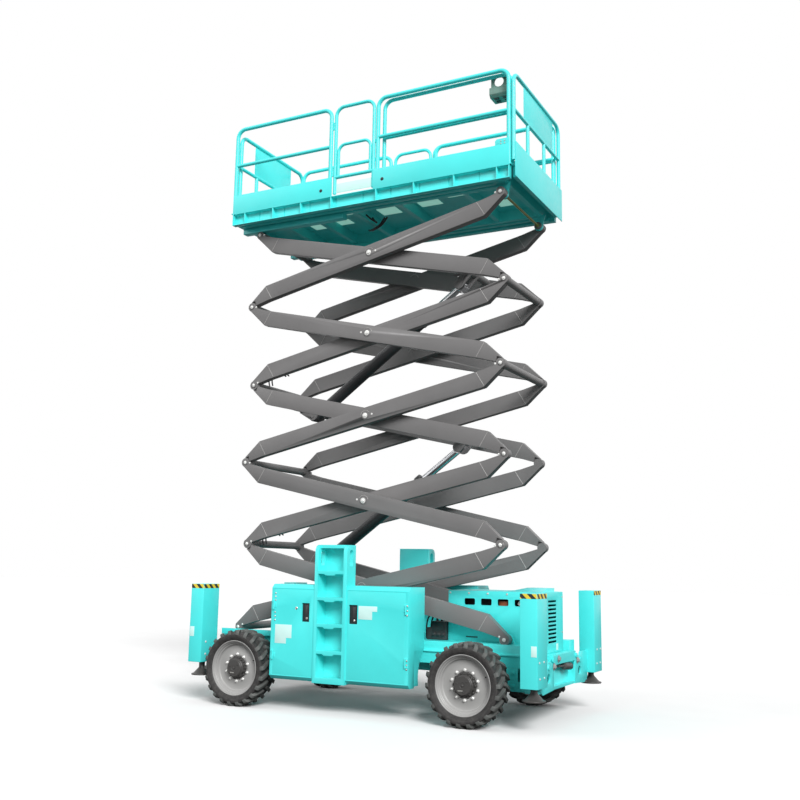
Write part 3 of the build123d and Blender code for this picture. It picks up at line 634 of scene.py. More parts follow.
def ring_tree():
    """Copies of a shape turned round the Y axis through the origin."""
    tree, given, result, keys = new_tree("copies_round_an_axle", Count="Int", Material="Material")
    one = tree.nodes.new("GeometryNodeGeometryToInstance")
    line = added(tree, "GeometryNodeMeshLine", Offset=(0, 0, 0))
    index = tree.nodes.new("GeometryNodeInputIndex")
    turn = added(tree, "FunctionNodeAxisAngleToRotation", Axis=(0, 1, 0))
    spots = tree.nodes.new("GeometryNodeInstanceOnPoints")
    share = worked_out(tree, "DIVIDE", index.outputs["Index"], given["Count"])
    wired(tree, (given["Geometry"], one.inputs["Geometry"]), (given["Count"], line.inputs["Count"]),
          (worked_out(tree, "MULTIPLY", share, 2 * pi), turn.inputs["Angle"]),
          (line.outputs["Mesh"], spots.inputs["Points"]),
          (one.outputs["Instances"], spots.inputs["Instance"]),
          (turn.outputs["Rotation"], spots.inputs["Rotation"]))
    close_tree(tree, given, result, spots.outputs["Instances"])
    return tree, keys


tubes_along, tube_keys = tube_tree()
hoses_through, hose_keys = hose_tree()
bolts_on, bolt_keys = fastener_tree()
copies_round, ring_keys = ring_tree()


def grown(mesh, tree, keys, values):
    """Run a tree over a mesh and give back the plain mesh that it makes."""
    holder = in_scene("holder", mesh)
    modifier = holder.modifiers.new("growth", "NODES")
    modifier.node_group = tree
    for key, value in values.items():
        modifier[keys[key]] = value
    bpy.context.view_layer.update()
    depsgraph = bpy.context.evaluated_depsgraph_get()
    result = bpy.data.meshes.new_from_object(holder.evaluated_get(depsgraph), depsgraph=depsgraph)
    holder.modifiers.clear()
    bpy.data.objects.remove(holder)
    bpy.data.meshes.remove(mesh)
    return result


def route_mesh(routes):
    mesh = bpy.data.meshes.new("routes")
    points, edges = [], []
    for route in routes:
        start = len(points)
        points += [tuple(point) for point in route]
        edges += [(start + i, start + i + 1) for i in range(len(route) - 1)]
    mesh.from_pydata(points, edges, [])
    return mesh


def add_tubes(shapes, routes, radius, bend=0.0):
    shapes.from_mesh(grown(route_mesh(routes), tubes_along, tube_keys,
                           {"Radius": radius, "Bend": bend, "Bend Steps": 8, "Sides": 20, "Material": paint}))


def hoses(name, routes, radius, body, step=0.02, sides=12, material=hose_black):
    mesh = grown(route_mesh(routes), hoses_through, hose_keys,
                 {"Radius": radius, "Sides": sides, "Step": step, "Material": material})
    return placed(name, mesh, material, body, 50)


def bolt_heads(name, spots, body, material, height=0.62, washer=1.6):
    """Hexagonal heads at (point, direction, radius) spots."""
    mesh = bpy.data.meshes.new("spots")
    mesh.from_pydata([tuple(point) for point, _, _ in spots], [], [])
    mesh.attributes.new("direction", "FLOAT_VECTOR", "POINT")
    mesh.attributes.new("size", "FLOAT", "POINT")
    for index, (_, way, radius) in enumerate(spots):
        mesh.attributes["direction"].data[index].vector = way
        mesh.attributes["size"].data[index].value = radius
    made = grown(mesh, bolts_on, bolt_keys, {"Head Height": height, "Washer": washer, "Material": material})
    return placed(name, made, material, body, 30)


def cut_away(shapes, boxes):
    """Take boxes, given as (x, y, z) ranges, out of a solid."""
    solid = bpy.data.meshes.new("solid")
    shapes.to_mesh(solid)
    cutter = bpy.data.meshes.new("cutter")
    shapes.clear()
    for x, y, z in boxes:
        block(shapes, x, y, z, 0)
    shapes.to_mesh(cutter)
    shapes.clear()
    holders = [in_scene(mesh.name, mesh) for mesh in (solid, cutter)]
    modifier = holders[0].modifiers.new("cut", "BOOLEAN")
    modifier.operation = "DIFFERENCE"
    modifier.solver = "EXACT"
    modifier.object = holders[1]
    depsgraph = bpy.context.evaluated_depsgraph_get()
    result = bpy.data.meshes.new_from_object(holders[0].evaluated_get(depsgraph), depsgraph=depsgraph)
    shapes.from_mesh(result)
    for holder in holders:
        bpy.data.objects.remove(holder)
    for mesh in (solid, cutter, result):
        bpy.data.meshes.remove(mesh)


def softened(node, width, material, reshape=None, cuts=()):
    """A CAD node's own shape with its edges rounded, which stands in for it."""
    shapes = bmesh.new()
    shapes.from_mesh(frame["nodes"][node].data)
    bmesh.ops.remove_doubles(shapes, verts=shapes.verts, dist=2e-5)
    if reshape:
        for vertex in shapes.verts:
            vertex.co = reshape(*vertex.co)
    if cuts:
        cut_away(shapes, cuts)
        bmesh.ops.remove_doubles(shapes, verts=shapes.verts, dist=2e-5)
    bmesh.ops.dissolve_limit(shapes, angle_limit=radians(0.6), verts=shapes.verts, edges=shapes.edges)
    edges = [edge for edge in shapes.edges if edge.is_manifold and edge.calc_face_angle(0) > radians(35)
             and edge.calc_length() > width * 2.2]
    rounded_edges(shapes, edges, width)
    dressed(node, shapes, material, 32)


bodies = frame["record"]["behaviour"]["bodies"]
body_of_node = {node: body for body, nodes in bodies.items() for node in nodes}
slot_of_node = {entry["node"]: entry["material_slot"] for entry in frame["record"]["subparts"]}
material_of_slot = {"paint": paint, "arm_paint": arm_grey, "black_paint": black, "chrome_rod": chrome,
                    "tyre": rubber, "rim_paint": rim_grey, "control_grey": control_grey}


def coat_cad_nodes():
    for node, solid in frame["nodes"].items():
        solid.data.materials.clear()
        solid.data.materials.append(material_of_slot[slot_of_node[node]])


coat_cad_nodes()


# Scissor arms

def rises_right(kind, level):
    return (kind == "outer") == (level % 2 == 1)


def arm_middle(kind):
    return inner_arm_y if kind == "inner" else outer_arm_y


def arm_point(kind, level, along, off, y):
    """A place on an arm, measured from its lower pin along and off its pin line."""
    way = 1 if rises_right(kind, level) else -1
    start = left_column_x if way > 0 else pin_column_x
    low = first_pin_z + level_rise * (level - 1)
    x = start + way * (along * cos(theta) - off * sin(theta))
    return Vector((x, y, low + along * sin(theta) + off * cos(theta)))


def flush_pin(face):
    """Pins that reached through the outer lugs end in a low head."""
    def moved_end(x, y, z):
        if abs(y) > face + 0.020:
            y = (face + 0.008) * (1 if y > 0 else -1)
        return x, y, z
    return moved_end


def holds_pin(kind, level, upper):
    """The arm whose fork or plain end carries the joint's pin."""
    if (level == 1 and not upper) or (level == level_count and upper):
        return True
    return upper if rises_right(kind, level) == upper else level % 2 == 0


def arm_faces(kind):
    """The outward and inward faces of an arm pair as (y, outward way)."""
    middle = arm_middle(kind)
    return [(side * (middle + way * half_thickness), side * way) for side in (-1, 1) for way in (-1, 1)]


def arm_pins(kind, level):
    """Pin ends with their keeper bolts on the outward faces, at both ends and the middle."""
    joints = []
    for along, step, upper in ((0.0, 0.062, False), (arm_length, -0.062, True)):
        if holds_pin(kind, level, upper):
            joints.append((along, step, 0.012, 0.013))
    if kind == "outer":
        joints.append((arm_length / 2, 0.085, -0.010, 0.020))
    spots = []
    for side in (-1, 1):
        y = side * (arm_middle(kind) + half_thickness)
        for along, step, off, head in joints:
            spots.append((arm_point(kind, level, along, 0, y + side * 0.0075), (0, side, 0), head))
            spots.append((arm_point(kind, level, along + step, off, y), (0, side, 0), 0.0075))
    if spots:
        body = body_of_node[f"{kind}_arms_{level}"]
        bolt_heads(f"{kind}_pins_{level}", spots, body, bright, height=0.5)


def arm_seams(kind, level):
    """Weld beads across the arms near their tips and round the middle pin."""
    routes = []
    across = [(bevel_length + 0.040 - 0.016 * step, 0.003 + 0.058 * step) for step in range(4)]
    angles = [radians(20 + 22 * step) for step in range(7)]
    arc = [(0.062 * cos(angle), 0.062 * sin(angle)) for angle in angles]
    for y, way in arm_faces(kind):
        at = y + way * 0.0002
        routes.append([arm_point(kind, level, along, off, at) for along, off in across])
        routes.append([arm_point(kind, level, arm_length - along, -off, at) for along, off in across])
        routes.append([arm_point(kind, level, arm_length / 2 + along, off, at) for along, off in arc])
    body = body_of_node[f"{kind}_arms_{level}"]
    hoses(f"{kind}_arm_seams_{level}", routes, 0.0030, body, 0.03, 6, seam)


def top_cross_tube():
    """The thin tube between the top arms' fixed ends."""
    profile = [(0, 0), (0.022, 0), (0.022, 0.020), (0.0145, 0.024), (0.0145, 1.061), (0.022, 1.065),
               (0.022, 1.085), (0, 1.085)]
    turned_piece("top_cross_tube", (pin_column_x, -0.5425, top_pin_z), (0, 1, 0), profile, 20, tube_green,
                 body_of_node[f"outer_arms_{level_count}"])


top_tube_box = [(around(pin_column_x, 0.06), (-0.540, 0.540), around(top_pin_z, 0.06))]
for level in range(1, level_count + 1):
    for kind in ("inner", "outer"):
        cuts = top_tube_box if kind == "outer" and level == level_count else ()
        reshape = flush_pin(arm_middle(kind) + half_thickness)
        softened(f"{kind}_arms_{level}", 0.004, arm_grey, reshape, cuts)
        arm_pins(kind, level)
        arm_seams(kind, level)
top_cross_tube()


# Wheels

def tyre_profile():
    """(radius, across) points from the inner bead round the tread to the outer bead."""
    half = [(rim_radius, 0.112), (0.306, 0.126), (0.322, 0.137), (0.344, 0.146), (0.364, 0.148),
            (0.380, 0.143), (0.384, 0.130), (0.385, 0.105), (carcass_radius, 0.05), (carcass_radius, 0.0)]
    return [(radius, -across) for radius, across in half] + half[-2::-1]


def rim_profile():
    """(radius, along) points round a dished disc wheel's section."""
    return [(0.300, 0.060), (0.2995, 0.112), (0.3045, 0.119), (0.3040, 0.1265), (0.2990, 0.1290),
            (0.2930, 0.1255), (0.2900, 0.1150), (0.2855, 0.1080), (0.2800, 0.1065), (0.2760, 0.1010),
            (0.2740, 0.0900), (0.2690, 0.0860), (0.2620, 0.0845), (0.2590, 0.0790), (0.2560, 0.0620),
            (0.2500, 0.0560), (0.2400, 0.0535), (0.2000, 0.0545), (0.1650, 0.0585), (0.1500, 0.0620),
            (0.1430, 0.0620), (0.1380, 0.0590), (0.0900, 0.0590), (0.0900, 0.0450), (0.1600, 0.0440),
            (0.2460, 0.0420), (0.2560, 0.0360), (0.2700, 0.0200), (0.2780, -0.0400), (0.2850, -0.1050),
            (0.2960, -0.1190), (0.3030, -0.1200), (0.3010, -0.1120), (0.3000, -0.0600), (0.300, 0.060)]


def hub_profile():
    """(radius, along) points of the planetary hub that stands out of the disc."""
    return [(0, -0.040), (0.128, -0.040), (0.128, 0.0585), (0.1240, 0.0640), (0.1120, 0.0660),
            (0.1060, 0.0700), (0.1035, 0.1000), (0.1000, 0.1050), (0.0950, 0.1080), (0.0930, 0.1240),
            (0.0890, 0.1275), (0.0300, 0.1290), (0.0280, 0.1270), (0, 0.1270)]


def tread_radius(across):
    """The carcass's radius under a lug."""
    shoulder = max(0.0, abs(across) - 0.100)
    return carcass_radius - 6.0 * shoulder * shoulder


def tread_lug(side):
    """One angled bar from the middle of the tread round the shoulder, at the top of the wheel."""
    shapes = bmesh.new()
    rows = [(0.004, -0.030, 0.021, 0.4185), (0.050, -0.004, 0.023, 0.4190), (0.092, 0.018, 0.024, 0.4190),
            (0.124, 0.034, 0.026, 0.4165), (0.140, 0.040, 0.026, 0.4060), (0.149, 0.042, 0.024, 0.3850)]
    grid = []
    for across, shift, half, top in rows:
        low = tread_radius(across) - 0.004
        section = ((-half, low), (-half * 0.80, top), (half * 0.80, top), (half, low))
        spots = [((shift + offset) / 0.40, radius) for offset, radius in section]
        grid.append([shapes.verts.new((radius * sin(angle), side * across, radius * cos(angle)))
                     for angle, radius in spots])
    for first, second in zip(grid, grid[1:]):
        for i in range(4):
            j = (i + 1) % 4
            shapes.faces.new([first[i], first[j], second[j], second[i]])
    shapes.faces.new(grid[0])
    shapes.faces.new(grid[-1][::-1])
    bmesh.ops.recalc_face_normals(shapes, faces=shapes.faces)
    edges = [edge for edge in shapes.edges if edge.calc_face_angle(0) > 0.6]
    rounded_edges(shapes, edges, 0.0022, 1, 0.0)
    return shapes


def turned_about_axle(side, profile, count):
    shapes = bmesh.new()
    turned(shapes, (0, 0, 0), (0, side, 0), profile, count)
    return shapes


def tyre_mesh():
    """A whole tyre's carcass about the origin, with ribs on its walls."""
    shapes = turned_about_axle(1, tyre_profile(), 88)
    for side in (-1, 1):
        for radius, across, size in tyre_wall_ribs:
            foot, crest, half = across - 0.002, across + size * 0.6, size * 0.5
            ring = [(radius - size, foot), (radius - half, crest),
                    (radius + half, crest), (radius + size, foot)]
            turned(shapes, (0, 0, 0), (0, side, 0), ring, 88)
    return shapes


def tread_mesh():
    """Two staggered rows of bars round a tyre about the origin."""
    shapes = bmesh.new()
    for side in (-1, 1):
        lug = bpy.data.meshes.new("lug")
        bar = tread_lug(side)
        if side > 0:
            turn = Matrix.Rotation(pi / tread_bars, 3, "Y")
            bmesh.ops.rotate(bar, verts=bar.verts, cent=(0, 0, 0), matrix=turn)
        bar.to_mesh(lug)
        bar.free()
        shapes.from_mesh(grown(lug, copies_round, ring_keys, {"Count": tread_bars, "Material": tread}))
    return shapes


def hub_rib(shapes, spot, way, side):
    """A short cooling rib that stands out from the hub's barrel."""
    tangent = Vector((-way.z, 0, way.x))
    across = Vector((0, side, 0))
    vertices = [shapes.verts.new(spot + way * a + tangent * b + across * c)
                for a in (-0.006, 0.012) for b in (-0.009, 0.009) for c in (-0.018, 0.014)]
    quads = [(0, 1, 3, 2), (4, 6, 7, 5), (0, 4, 5, 1), (2, 3, 7, 6), (0, 2, 6, 4), (1, 5, 7, 3)]
    faces = [shapes.faces.new([vertices[i] for i in quad]) for quad in quads]
    bmesh.ops.recalc_face_normals(shapes, faces=faces)
    bevelled(shapes, faces, 0.002)


def wheel(name, centre_x, side):
    """Tyre, tread, rim and hub of one wheel, with nuts, plugs, plate and valve."""
    body = f"{name}_wheel"
    centre = Vector((centre_x, side * wheel_y, axle_z))
    between = [2 * pi * (index + 0.5) / wheel_studs for index in range(wheel_studs)]
    in_line = [2 * pi * index / wheel_studs for index in range(wheel_studs)]

    def at_wheel(shapes):
        bmesh.ops.translate(shapes, verts=shapes.verts, vec=centre)
        return shapes

    def ring_of_heads(angles, away, out, head):
        places = [Vector((cos(angle) * away, side * out, sin(angle) * away)) for angle in angles]
        return [(centre + place, (0, side, 0), head) for place in places]

    dressed(f"{name}_tyre", at_wheel(tyre_mesh()), rubber)
    finished(f"{name}_tread", at_wheel(tread_mesh()), tread, body)
    dressed(f"{name}_rim", at_wheel(turned_about_axle(side, rim_profile(), 96)), rim_grey)
    hub = at_wheel(turned_about_axle(side, hub_profile(), 64))
    for angle in between:
        way = Vector((cos(angle), 0, sin(angle)))
        hub_rib(hub, centre + way * 0.1035 + Vector((0, side * 0.085, 0)), way, side)
    finished(f"{name}_hub", hub, black, body)
    nuts = ring_of_heads(in_line, 0.118, 0.0655, 0.0105)
    bolt_heads(f"{name}_hub_nuts", nuts, body, black, height=0.9)
    studs = ring_of_heads(between, 0.149, 0.0615, 0.0115)
    bolt_heads(f"{name}_wheel_nuts", studs, body, bright, height=1.5, washer=1.35)
    plugs = ring_of_heads([radians(a) for a in (40, 160, 280)], 0.062, 0.1285, 0.007)
    plugs += ring_of_heads([0], 0, 0.1270, 0.011)
    bolt_heads(f"{name}_hub_plugs", plugs, body, black, height=0.5, washer=1.2)
    x, y, z = centre
    plate = ((x - 0.050, x + 0.004), (y + side * 0.1280, y + side * 0.1300), (z - 0.060, z - 0.047), 0.0006)
    blocks_piece(f"{name}_hub_plate", [plate], zinc, body)
    stem = [(0, 0), (0.0065, 0), (0.0060, 0.022), (0.0045, 0.024), (0.0045, 0.036), (0, 0.037)]
    foot = centre + Vector((0.225, side * 0.052, 0.09))
    turned_piece(f"{name}_valve", foot, (0.1, side, 0.05), stem, 14, black, body)


for end, centre_x in (("front", front_axle_x), ("rear", rear_axle_x)):
    for name, side in both_sides:
        wheel(f"{end}_{name}", centre_x, side)


# Guard rails

def hoop(x0, x1, y, foot, top):
    """Inverted U in a plane of constant y."""
    high = top - rail_tube
    return [(x0, y, foot), (x0, y, high), (x1, y, high), (x1, y, foot)]


def end_hoop(x, half, foot):
    """Inverted U across the platform, with its top at the end rails' height."""
    high = rail_top - rail_tube
    return [(x, -half, foot), (x, -half, high), (x, half, high), (x, half, foot)]


def sheet_ring(shapes, outer, inner, low, high):
    """A flat ring across Y between two outlines with as many points each."""
    rings = [[shapes.verts.new(corner_of("y", a, b, along)) for a, b in outline]
             for outline, along in ((outer, low), (outer, high), (inner, high), (inner, low))]
    faces = []
    count = len(outer)
    for first, second in zip(rings, rings[1:] + rings[:1]):
        for i in range(count):
            j = (i + 1) % count
            faces.append(shapes.faces.new([first[i], first[j], second[j], second[i]]))
    bmesh.ops.recalc_face_normals(shapes, faces=faces)


def foot_plate(shapes, x, y, z):
    """Small plate below a rail post."""
    block(shapes, around(x, 0.036), (y - 0.026, y + 0.022), (z, z + 0.010), 0.002)


def hinge_sleeve(shapes, post_x, y, low, height):
    """A gate hinge's sleeve and the strap from it to a post."""
    sleeve = [(0, 0), (0.009, 0), (0.009, height), (0, height)]
    turned(shapes, (gate_hinge_x, y, low), (0, 0, 1), sleeve, 16)
    block(shapes, (gate_hinge_x, post_x), around(y, 0.004), (low, low + height), 0.001)


def side_rails(shapes, spans, rail_y, foot, top):
    """Hoops and middle bars on both sides, with plates below their feet."""
    hoops, bars = [], []
    for side in (-1, 1):
        y = side * rail_y
        for x0, x1 in spans:
            hoops.append(hoop(x0, x1, y, foot, top))
            bars.append([(x0, y, rail_mid), (x1, y, rail_mid)])
            for x in (x0, x1):
                foot_plate(shapes, x, y, foot)
    return hoops, bars


def end_rails(hoops, bars, x, half, foot, post_foot, posts):
    """A hoop across the platform with its middle bar and short posts."""
    hoops.append(end_hoop(x, half, foot))
    bars.append([(x, -half, rail_mid), (x, half, rail_mid)])
    for y in posts:
        bars.append([(x, y, post_foot), (x, y, rail_mid)])


def platform_guard_rails():
    rail_y = deck_half - 0.028
    x = deck_left_x + 0.028
    shapes = bmesh.new()
    spans = ((side_rail_left_x, left_rail_x), (right_rail_x, side_rail_right_x))
    hoops, bars = side_rails(shapes, spans, rail_y, deck_top_z, side_rail_top)
    end_rails(hoops, bars, x, deck_half - 0.090, deck_top_z, deck_top_z + 0.01, (-0.370, 0.370))
    add_tubes(shapes, hoops, rail_tube, rail_bend)
    add_tubes(shapes, bars, rail_tube * 0.92)
    block(shapes, around(x, 0.002), (-0.42, 0.42), (rail_mid, rail_top - rail_tube), 0.0008)
    for side in (-1, 1):
        for z in gate_hinge_heights:
            for low in (z - 0.0483, z + 0.0243):
                hinge_sleeve(shapes, left_rail_x, side * rail_y, low, 0.024)
    dressed("platform_rails", shapes, paint)


def extension_guard_rails():
    foot = deck_top_z + 0.008 + 0.040
    x = extension_right_x - 0.008 - rail_tube
    shapes = bmesh.new()
    spans = ((extension_left_x + 0.025, extension_right_x - 0.080),)
    hoops, bars = side_rails(shapes, spans, extension_half - 0.035, foot, side_rail_top - 0.024)
    end_rails(hoops, bars, x, deck_half - rail_tube, foot, foot, (-0.330, 0.230))
    add_tubes(shapes, hoops, rail_tube * 0.92, rail_bend)
    add_tubes(shapes, bars, rail_tube * 0.84)
    block(shapes, around(x, 0.002), (-0.46, 0.56), (rail_mid, rail_top - rail_tube), 0.0008)
    dressed("extension_rails", shapes, paint)


def platform_gate(name, side):
    y = side * (deck_half - 0.028)
    foot = deck_top_z + 0.030
    x0, x1 = gate_left_x, gate_right_x
    shapes = bmesh.new()
    add_tubes(shapes, [hoop(x0, x1, y, foot, side_rail_top)], rail_tube * 0.86, rail_bend)
    inner = hoop(x0 + 0.044, x1 - 0.044, y, gate_bar_z, rail_mid + rail_tube)
    add_tubes(shapes, [inner], rail_tube * 0.76, 0.090)
    add_tubes(shapes, [[(x0, y, gate_bar_z), (x1, y, gate_bar_z)]], rail_tube * 0.86)
    for z in gate_hinge_heights:
        hinge_sleeve(shapes, x0, y, z - 0.024, 0.048)
    block(shapes, (x1 - 0.004, x1 + 0.030), around(y, 0.012), (6.575, 6.625), 0.003)
    dressed(f"{name}_gate", shapes, paint)
    plate = ((x0 + 0.024, x1 - 0.024), around(y, 0.003), (foot + 0.010, foot + 0.125), 0.001)
    blocks_piece(f"{name}_gate_toe_plate", [plate], pale_label, f"{name}_gate")


platform_guard_rails()
extension_guard_rails()
for name, side in both_sides:
    platform_gate(name, side)


# Bodywork

def fitted_ladder(x, y, z):
    """The ladder at its own width and rise."""
    if x > (part_ladder_left_x + part_ladder_right_x) / 2:
        x += ladder_right_x - part_ladder_right_x
    else:
        x += ladder_left_x - part_ladder_left_x
    for index in range(1, step_count):
        top = first_step_z + index * part_ladder_step
        if top - part_step_depth - 0.0005 < z < top + 0.0005:
            return x, y, z + index * (ladder_step - part_ladder_step)
    return x, y, z


def fitted_ladder_slot(x, y, z):
    """Wider hand slots, with their round ends kept round."""
    x, y, z = fitted_ladder(x, y, z)
    side = 1 if y > 0 else -1
    middle = cabinet_face_y + 0.010 - ladder_depth * 0.42
    if abs(abs(y) - middle) < 0.0225 and 1.557 < z < 1.733:
        y = side * (1.0145 + (abs(y) - middle) * 1.7)
        if z < 1.581:
            z = 1.6125 + (z - 1.580) * 1.7
        elif z > 1.709:
            z = 1.7175 + (z - 1.710) * 1.7
    return x, y, z


def beside_ladder(x, y, z):
    """The cabinet's pocket and the right door's edge follow the ladder's right side."""
    if abs(x - part_ladder_right_x) < 0.025:
        x += ladder_right_x - part_ladder_right_x
    return x, y, z


def from_face(side, first, second):
    """A range along Y measured out from a cabinet's face."""
    return side * (cabinet_face_y + first), side * (cabinet_face_y + second)


def latch_pocket(side, edges):
    """Shallow pocket for a door's latch."""
    return [(edges, from_face(side, -0.020, 0.012), latch_heights)]


def outer_plates():
    """The part's thin plates outside the frame's pin brackets."""
    return [((1.44, 1.74), (side * 0.5965, side * 0.630), (0.8005, 0.915)) for side in (-1, 1)]


def outer_lugs():
    """The part's lugs outside the top pins."""
    heights = (top_pin_z - 0.07, deck_bottom_z - 0.001)
    return [(around(pin_column_x, 0.12), (side * 0.7015, side * 0.735), heights) for side in (-1, 1)]


def part_ribs():
    """The part's evenly pitched ribs, cleared for the deck's own ones."""
    pitch = (deck_right_x - deck_left_x - 0.012) / part_rib_count
    places = [deck_left_x + 0.006 + index * pitch for index in range(1, part_rib_count)]
    heights = (deck_bottom_z + 0.0065, deck_top_z - 0.0065)
    return [(around(x, 0.0065), (side * (deck_half + 0.001), side * (deck_half - 0.0695)), heights)
            for x in places for side in (-1, 1)]


def narrowed_hood(x, y, z):
    """The hood ends short of the far side and its pad sits at the back."""
    if z > engine_top_z + 0.002:
        if x < 1.60:
            x = 1.680
        if y < -0.25:
            y = -0.100
        return x, y, z
    if x < engine_left_x + 0.02:
        x -= hood_reach
    if y > engine_half - 0.02:
        y -= hood_cut
    return x, y, z


def placed_housing(x, y, z):
    """The rear housings stand a little further in and reach lower."""
    if x < 0:
        x += rear_outrigger_shift
        if z < 0.56:
            z -= rear_outrigger_drop
    return x, y, z


def lowered_end_plate(x, y, z):
    """The extension's end plate with a lower top."""
    if x > extension_right_x - 0.03 and z > 6.15:
        z -= end_plate_drop
    return x, y, z


def bodywork():
    """The painted bodies' own shapes with rounded edges."""
    softened("chassis", 0.003, paint, cuts=outer_plates())
    softened("ladders", 0.003, paint, fitted_ladder_slot)
    for name, side in both_sides:
        softened(f"{name}_cabinet", 0.003, paint, beside_ladder)
        left, right = latch_pocket(side, left_latch_x), latch_pocket(side, right_latch_x)
        softened(f"{name}_left_door", 0.003, paint, cuts=left)
        softened(f"{name}_right_door", 0.003, paint, beside_ladder, right)
    softened("engine_cover", 0.004, paint, narrowed_hood)
    softened("outrigger_housings", 0.004, paint, placed_housing)
    softened("platform_frame", 0.002, paint, cuts=outer_lugs() + part_ribs())
    softened("toe_boards", 0.0015, paint)
    softened("extension_deck", 0.0015, paint, lowered_end_plate)
    for node in ("front_axle", "rear_axle", "near_knuckle", "far_knuckle",
                 "lower_cylinder_barrel", "upper_cylinder_barrel"):
        softened(node, 0.003, black)


bodywork()


# Details

def deck_side_ribs():
    """Gussets in the deck's side channels."""
    heights = (deck_bottom_z + 0.004, deck_top_z - 0.004)
    outer, inner = deck_half - 0.003, deck_half - rib_depth - 0.004
    ribs = [(around(x, 0.006), (side * outer, side * inner), heights, 0.001)
            for x in rib_places for side in (-1, 1)]
    blocks_piece("deck_side_ribs", ribs, paint, "platform")


def glowing_deck_sheets():
    """Pale floor sheets that glow with painted light between the beams below the deck."""
    heights = (deck_top_z - 0.0165, deck_top_z - 0.0065)
    places = [(-1.66, -0.43, 0.30, 0.12), (-1.20, -0.43, 0.32, 0.12), (-1.22, 0.02, 0.22, 0.20),
              (-0.86, 0.02, 0.24, 0.16), (-0.62, -0.30, 0.26, 0.20), (-0.12, -0.10, 0.26, 0.22),
              (0.46, -0.40, 0.30, 0.16), (0.46, -0.14, 0.28, 0.18), (0.88, -0.28, 0.28, 0.16),
              (1.30, 0.24, 0.20, 0.22)]
    sheets = [(around(x, length / 2), around(y, width / 2), heights, 0.001)
              for x, y, length, width in places]
    blocks_piece("glowing_deck_sheets", sheets, painted_glow, "platform")


def toe_board_fittings():
    """The raised ends of the toe boards and the bolts through the boards."""
    left, right = 1.585, deck_right_x - 0.001
    tab = [(left, -0.020), (right, -0.020), (right, 0.072), (left + 0.020, 0.072), (left, 0.052)]
    outline = moved(tab, 0, toe_top_z)
    shapes = bmesh.new()
    for side in (-1, 1):
        side_prism(shapes, outline, side, deck_half - 0.002, deck_half - 0.006, 0.001)
    finished("toe_board_tabs", shapes, paint, "platform")
    large = [(-0.694, 6.083), (0.155, 6.091)]
    spots = [((x, side * deck_half, z), (0, side, 0), 0.013) for side in (-1, 1) for x, z in large]
    bolt_heads("toe_board_bolts", spots, "platform", black)
    small = [((x, side * deck_half, z), (0, side, 0), 0.005) for side in (-1, 1)
             for x in (1.655, 1.700) for z in (toe_top_z + 0.012, toe_top_z + 0.042)]
    bolt_heads("toe_tab_bolts", small, "platform", zinc)


def control_station():
    """Drive and lift controls on the near rail: a case with sockets below and a plate with a round hole."""
    body = body_of_node["control_box"]
    y0, y1 = -0.690, -0.500
    shapes = bmesh.new()
    case = [(y0, 6.920), (y0 + 0.030, 6.885), (y1, 6.885), (y1, 6.990), (y0, 7.000)]
    prism(shapes, case, "x", 1.466, 1.719, 0.006)
    hole = moved(round_rect(0.112, 0.112, 0.0559, 7), 1.585, 7.055)
    plate = moved(round_rect(0.200, 0.150, 0.020, 7), 1.589, 7.060)
    sheet_ring(shapes, plate, hole, y0 + 0.004, y0 + 0.012)
    piece = finished("control_station", shapes, control_grey, body, 35)
    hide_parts("control_box")
    sockets = [(around(x, 0.026), around(y, 0.022), (6.874, 6.8855), 0.003) for x in (1.535, 1.645)
               for y in (-0.630, -0.555)]
    blocks_piece("control_sockets", sockets, black, body)
    lever = [(0, 0), (0.026, 0), (0.026, 0.006), (0.012, 0.016), (0.009, 0.020), (0.009, 0.075),
             (0.016, 0.085), (0.017, 0.110), (0.010, 0.122), (0, 0.124)]
    foot = (1.63, -0.56, 6.990)
    turned_piece("control_lever", foot, (0.1, 0.05, 1), lever, 20, black, body)
    stop = [(0, 0), (0.012, 0), (0.012, 0.014), (0.024, 0.016), (0.025, 0.026), (0.020, 0.032), (0, 0.033)]
    turned_piece("control_stop_button", (1.53, -0.56, 6.990), (0, 0, 1), stop, 24, red, body)


def stepped_label(door, x, z, side, notch_x, notch_z):
    """Blank label plate on a door, with one lower corner cut out."""
    x0, x1 = x
    z0, z1 = z
    outline = [(x0, z0), (x1 - notch_x, z0), (x1 - notch_x, z0 + notch_z), (x1, z0 + notch_z),
               (x1, z1), (x0, z1)]
    shapes = bmesh.new()
    side_prism(shapes, outline, side, cabinet_face_y + 0.0001, cabinet_face_y + 0.0013, 0.0003)
    finished(f"{door}_label", shapes, pale_label, door)


def door_latch(door, edges, side):
    """A near-black sheet of painted shade at the back of a door's pocket, with the latch and its bolt."""
    low, high = latch_heights
    middle = edges[0] + 0.62 * (edges[1] - edges[0])
    # Painted shade: the pocket's back is filled with a near-black sheet.
    pocket_shade = (edges, from_face(side, -0.0198, -0.0185), latch_heights, 0.0003)
    blocks_piece(f"{door}_latch_pocket_shade", [pocket_shade], painted_shade, door)
    base = (around(middle, 0.021), from_face(side, -0.0183, -0.0100), (low + 0.016, high - 0.020), 0.002)
    grip = (around(middle, 0.013), from_face(side, -0.0100, -0.0035), (low + 0.060, high - 0.040), 0.003)
    blocks_piece(f"{door}_latch", [base, grip], black, door)
    spot = ((middle, side * (cabinet_face_y - 0.010), low + 0.038), (0, side, 0), 0.008)
    bolt_heads(f"{door}_latch_bolts", [spot], door, zinc)


def hinge_bolts(door, side, x, out, heights, body):
    spots = [((x, side * (cabinet_face_y + out), z), (0, side, 0), 0.0062) for z in heights]
    bolt_heads(f"{door}_hinge_bolts", spots, body, zinc)


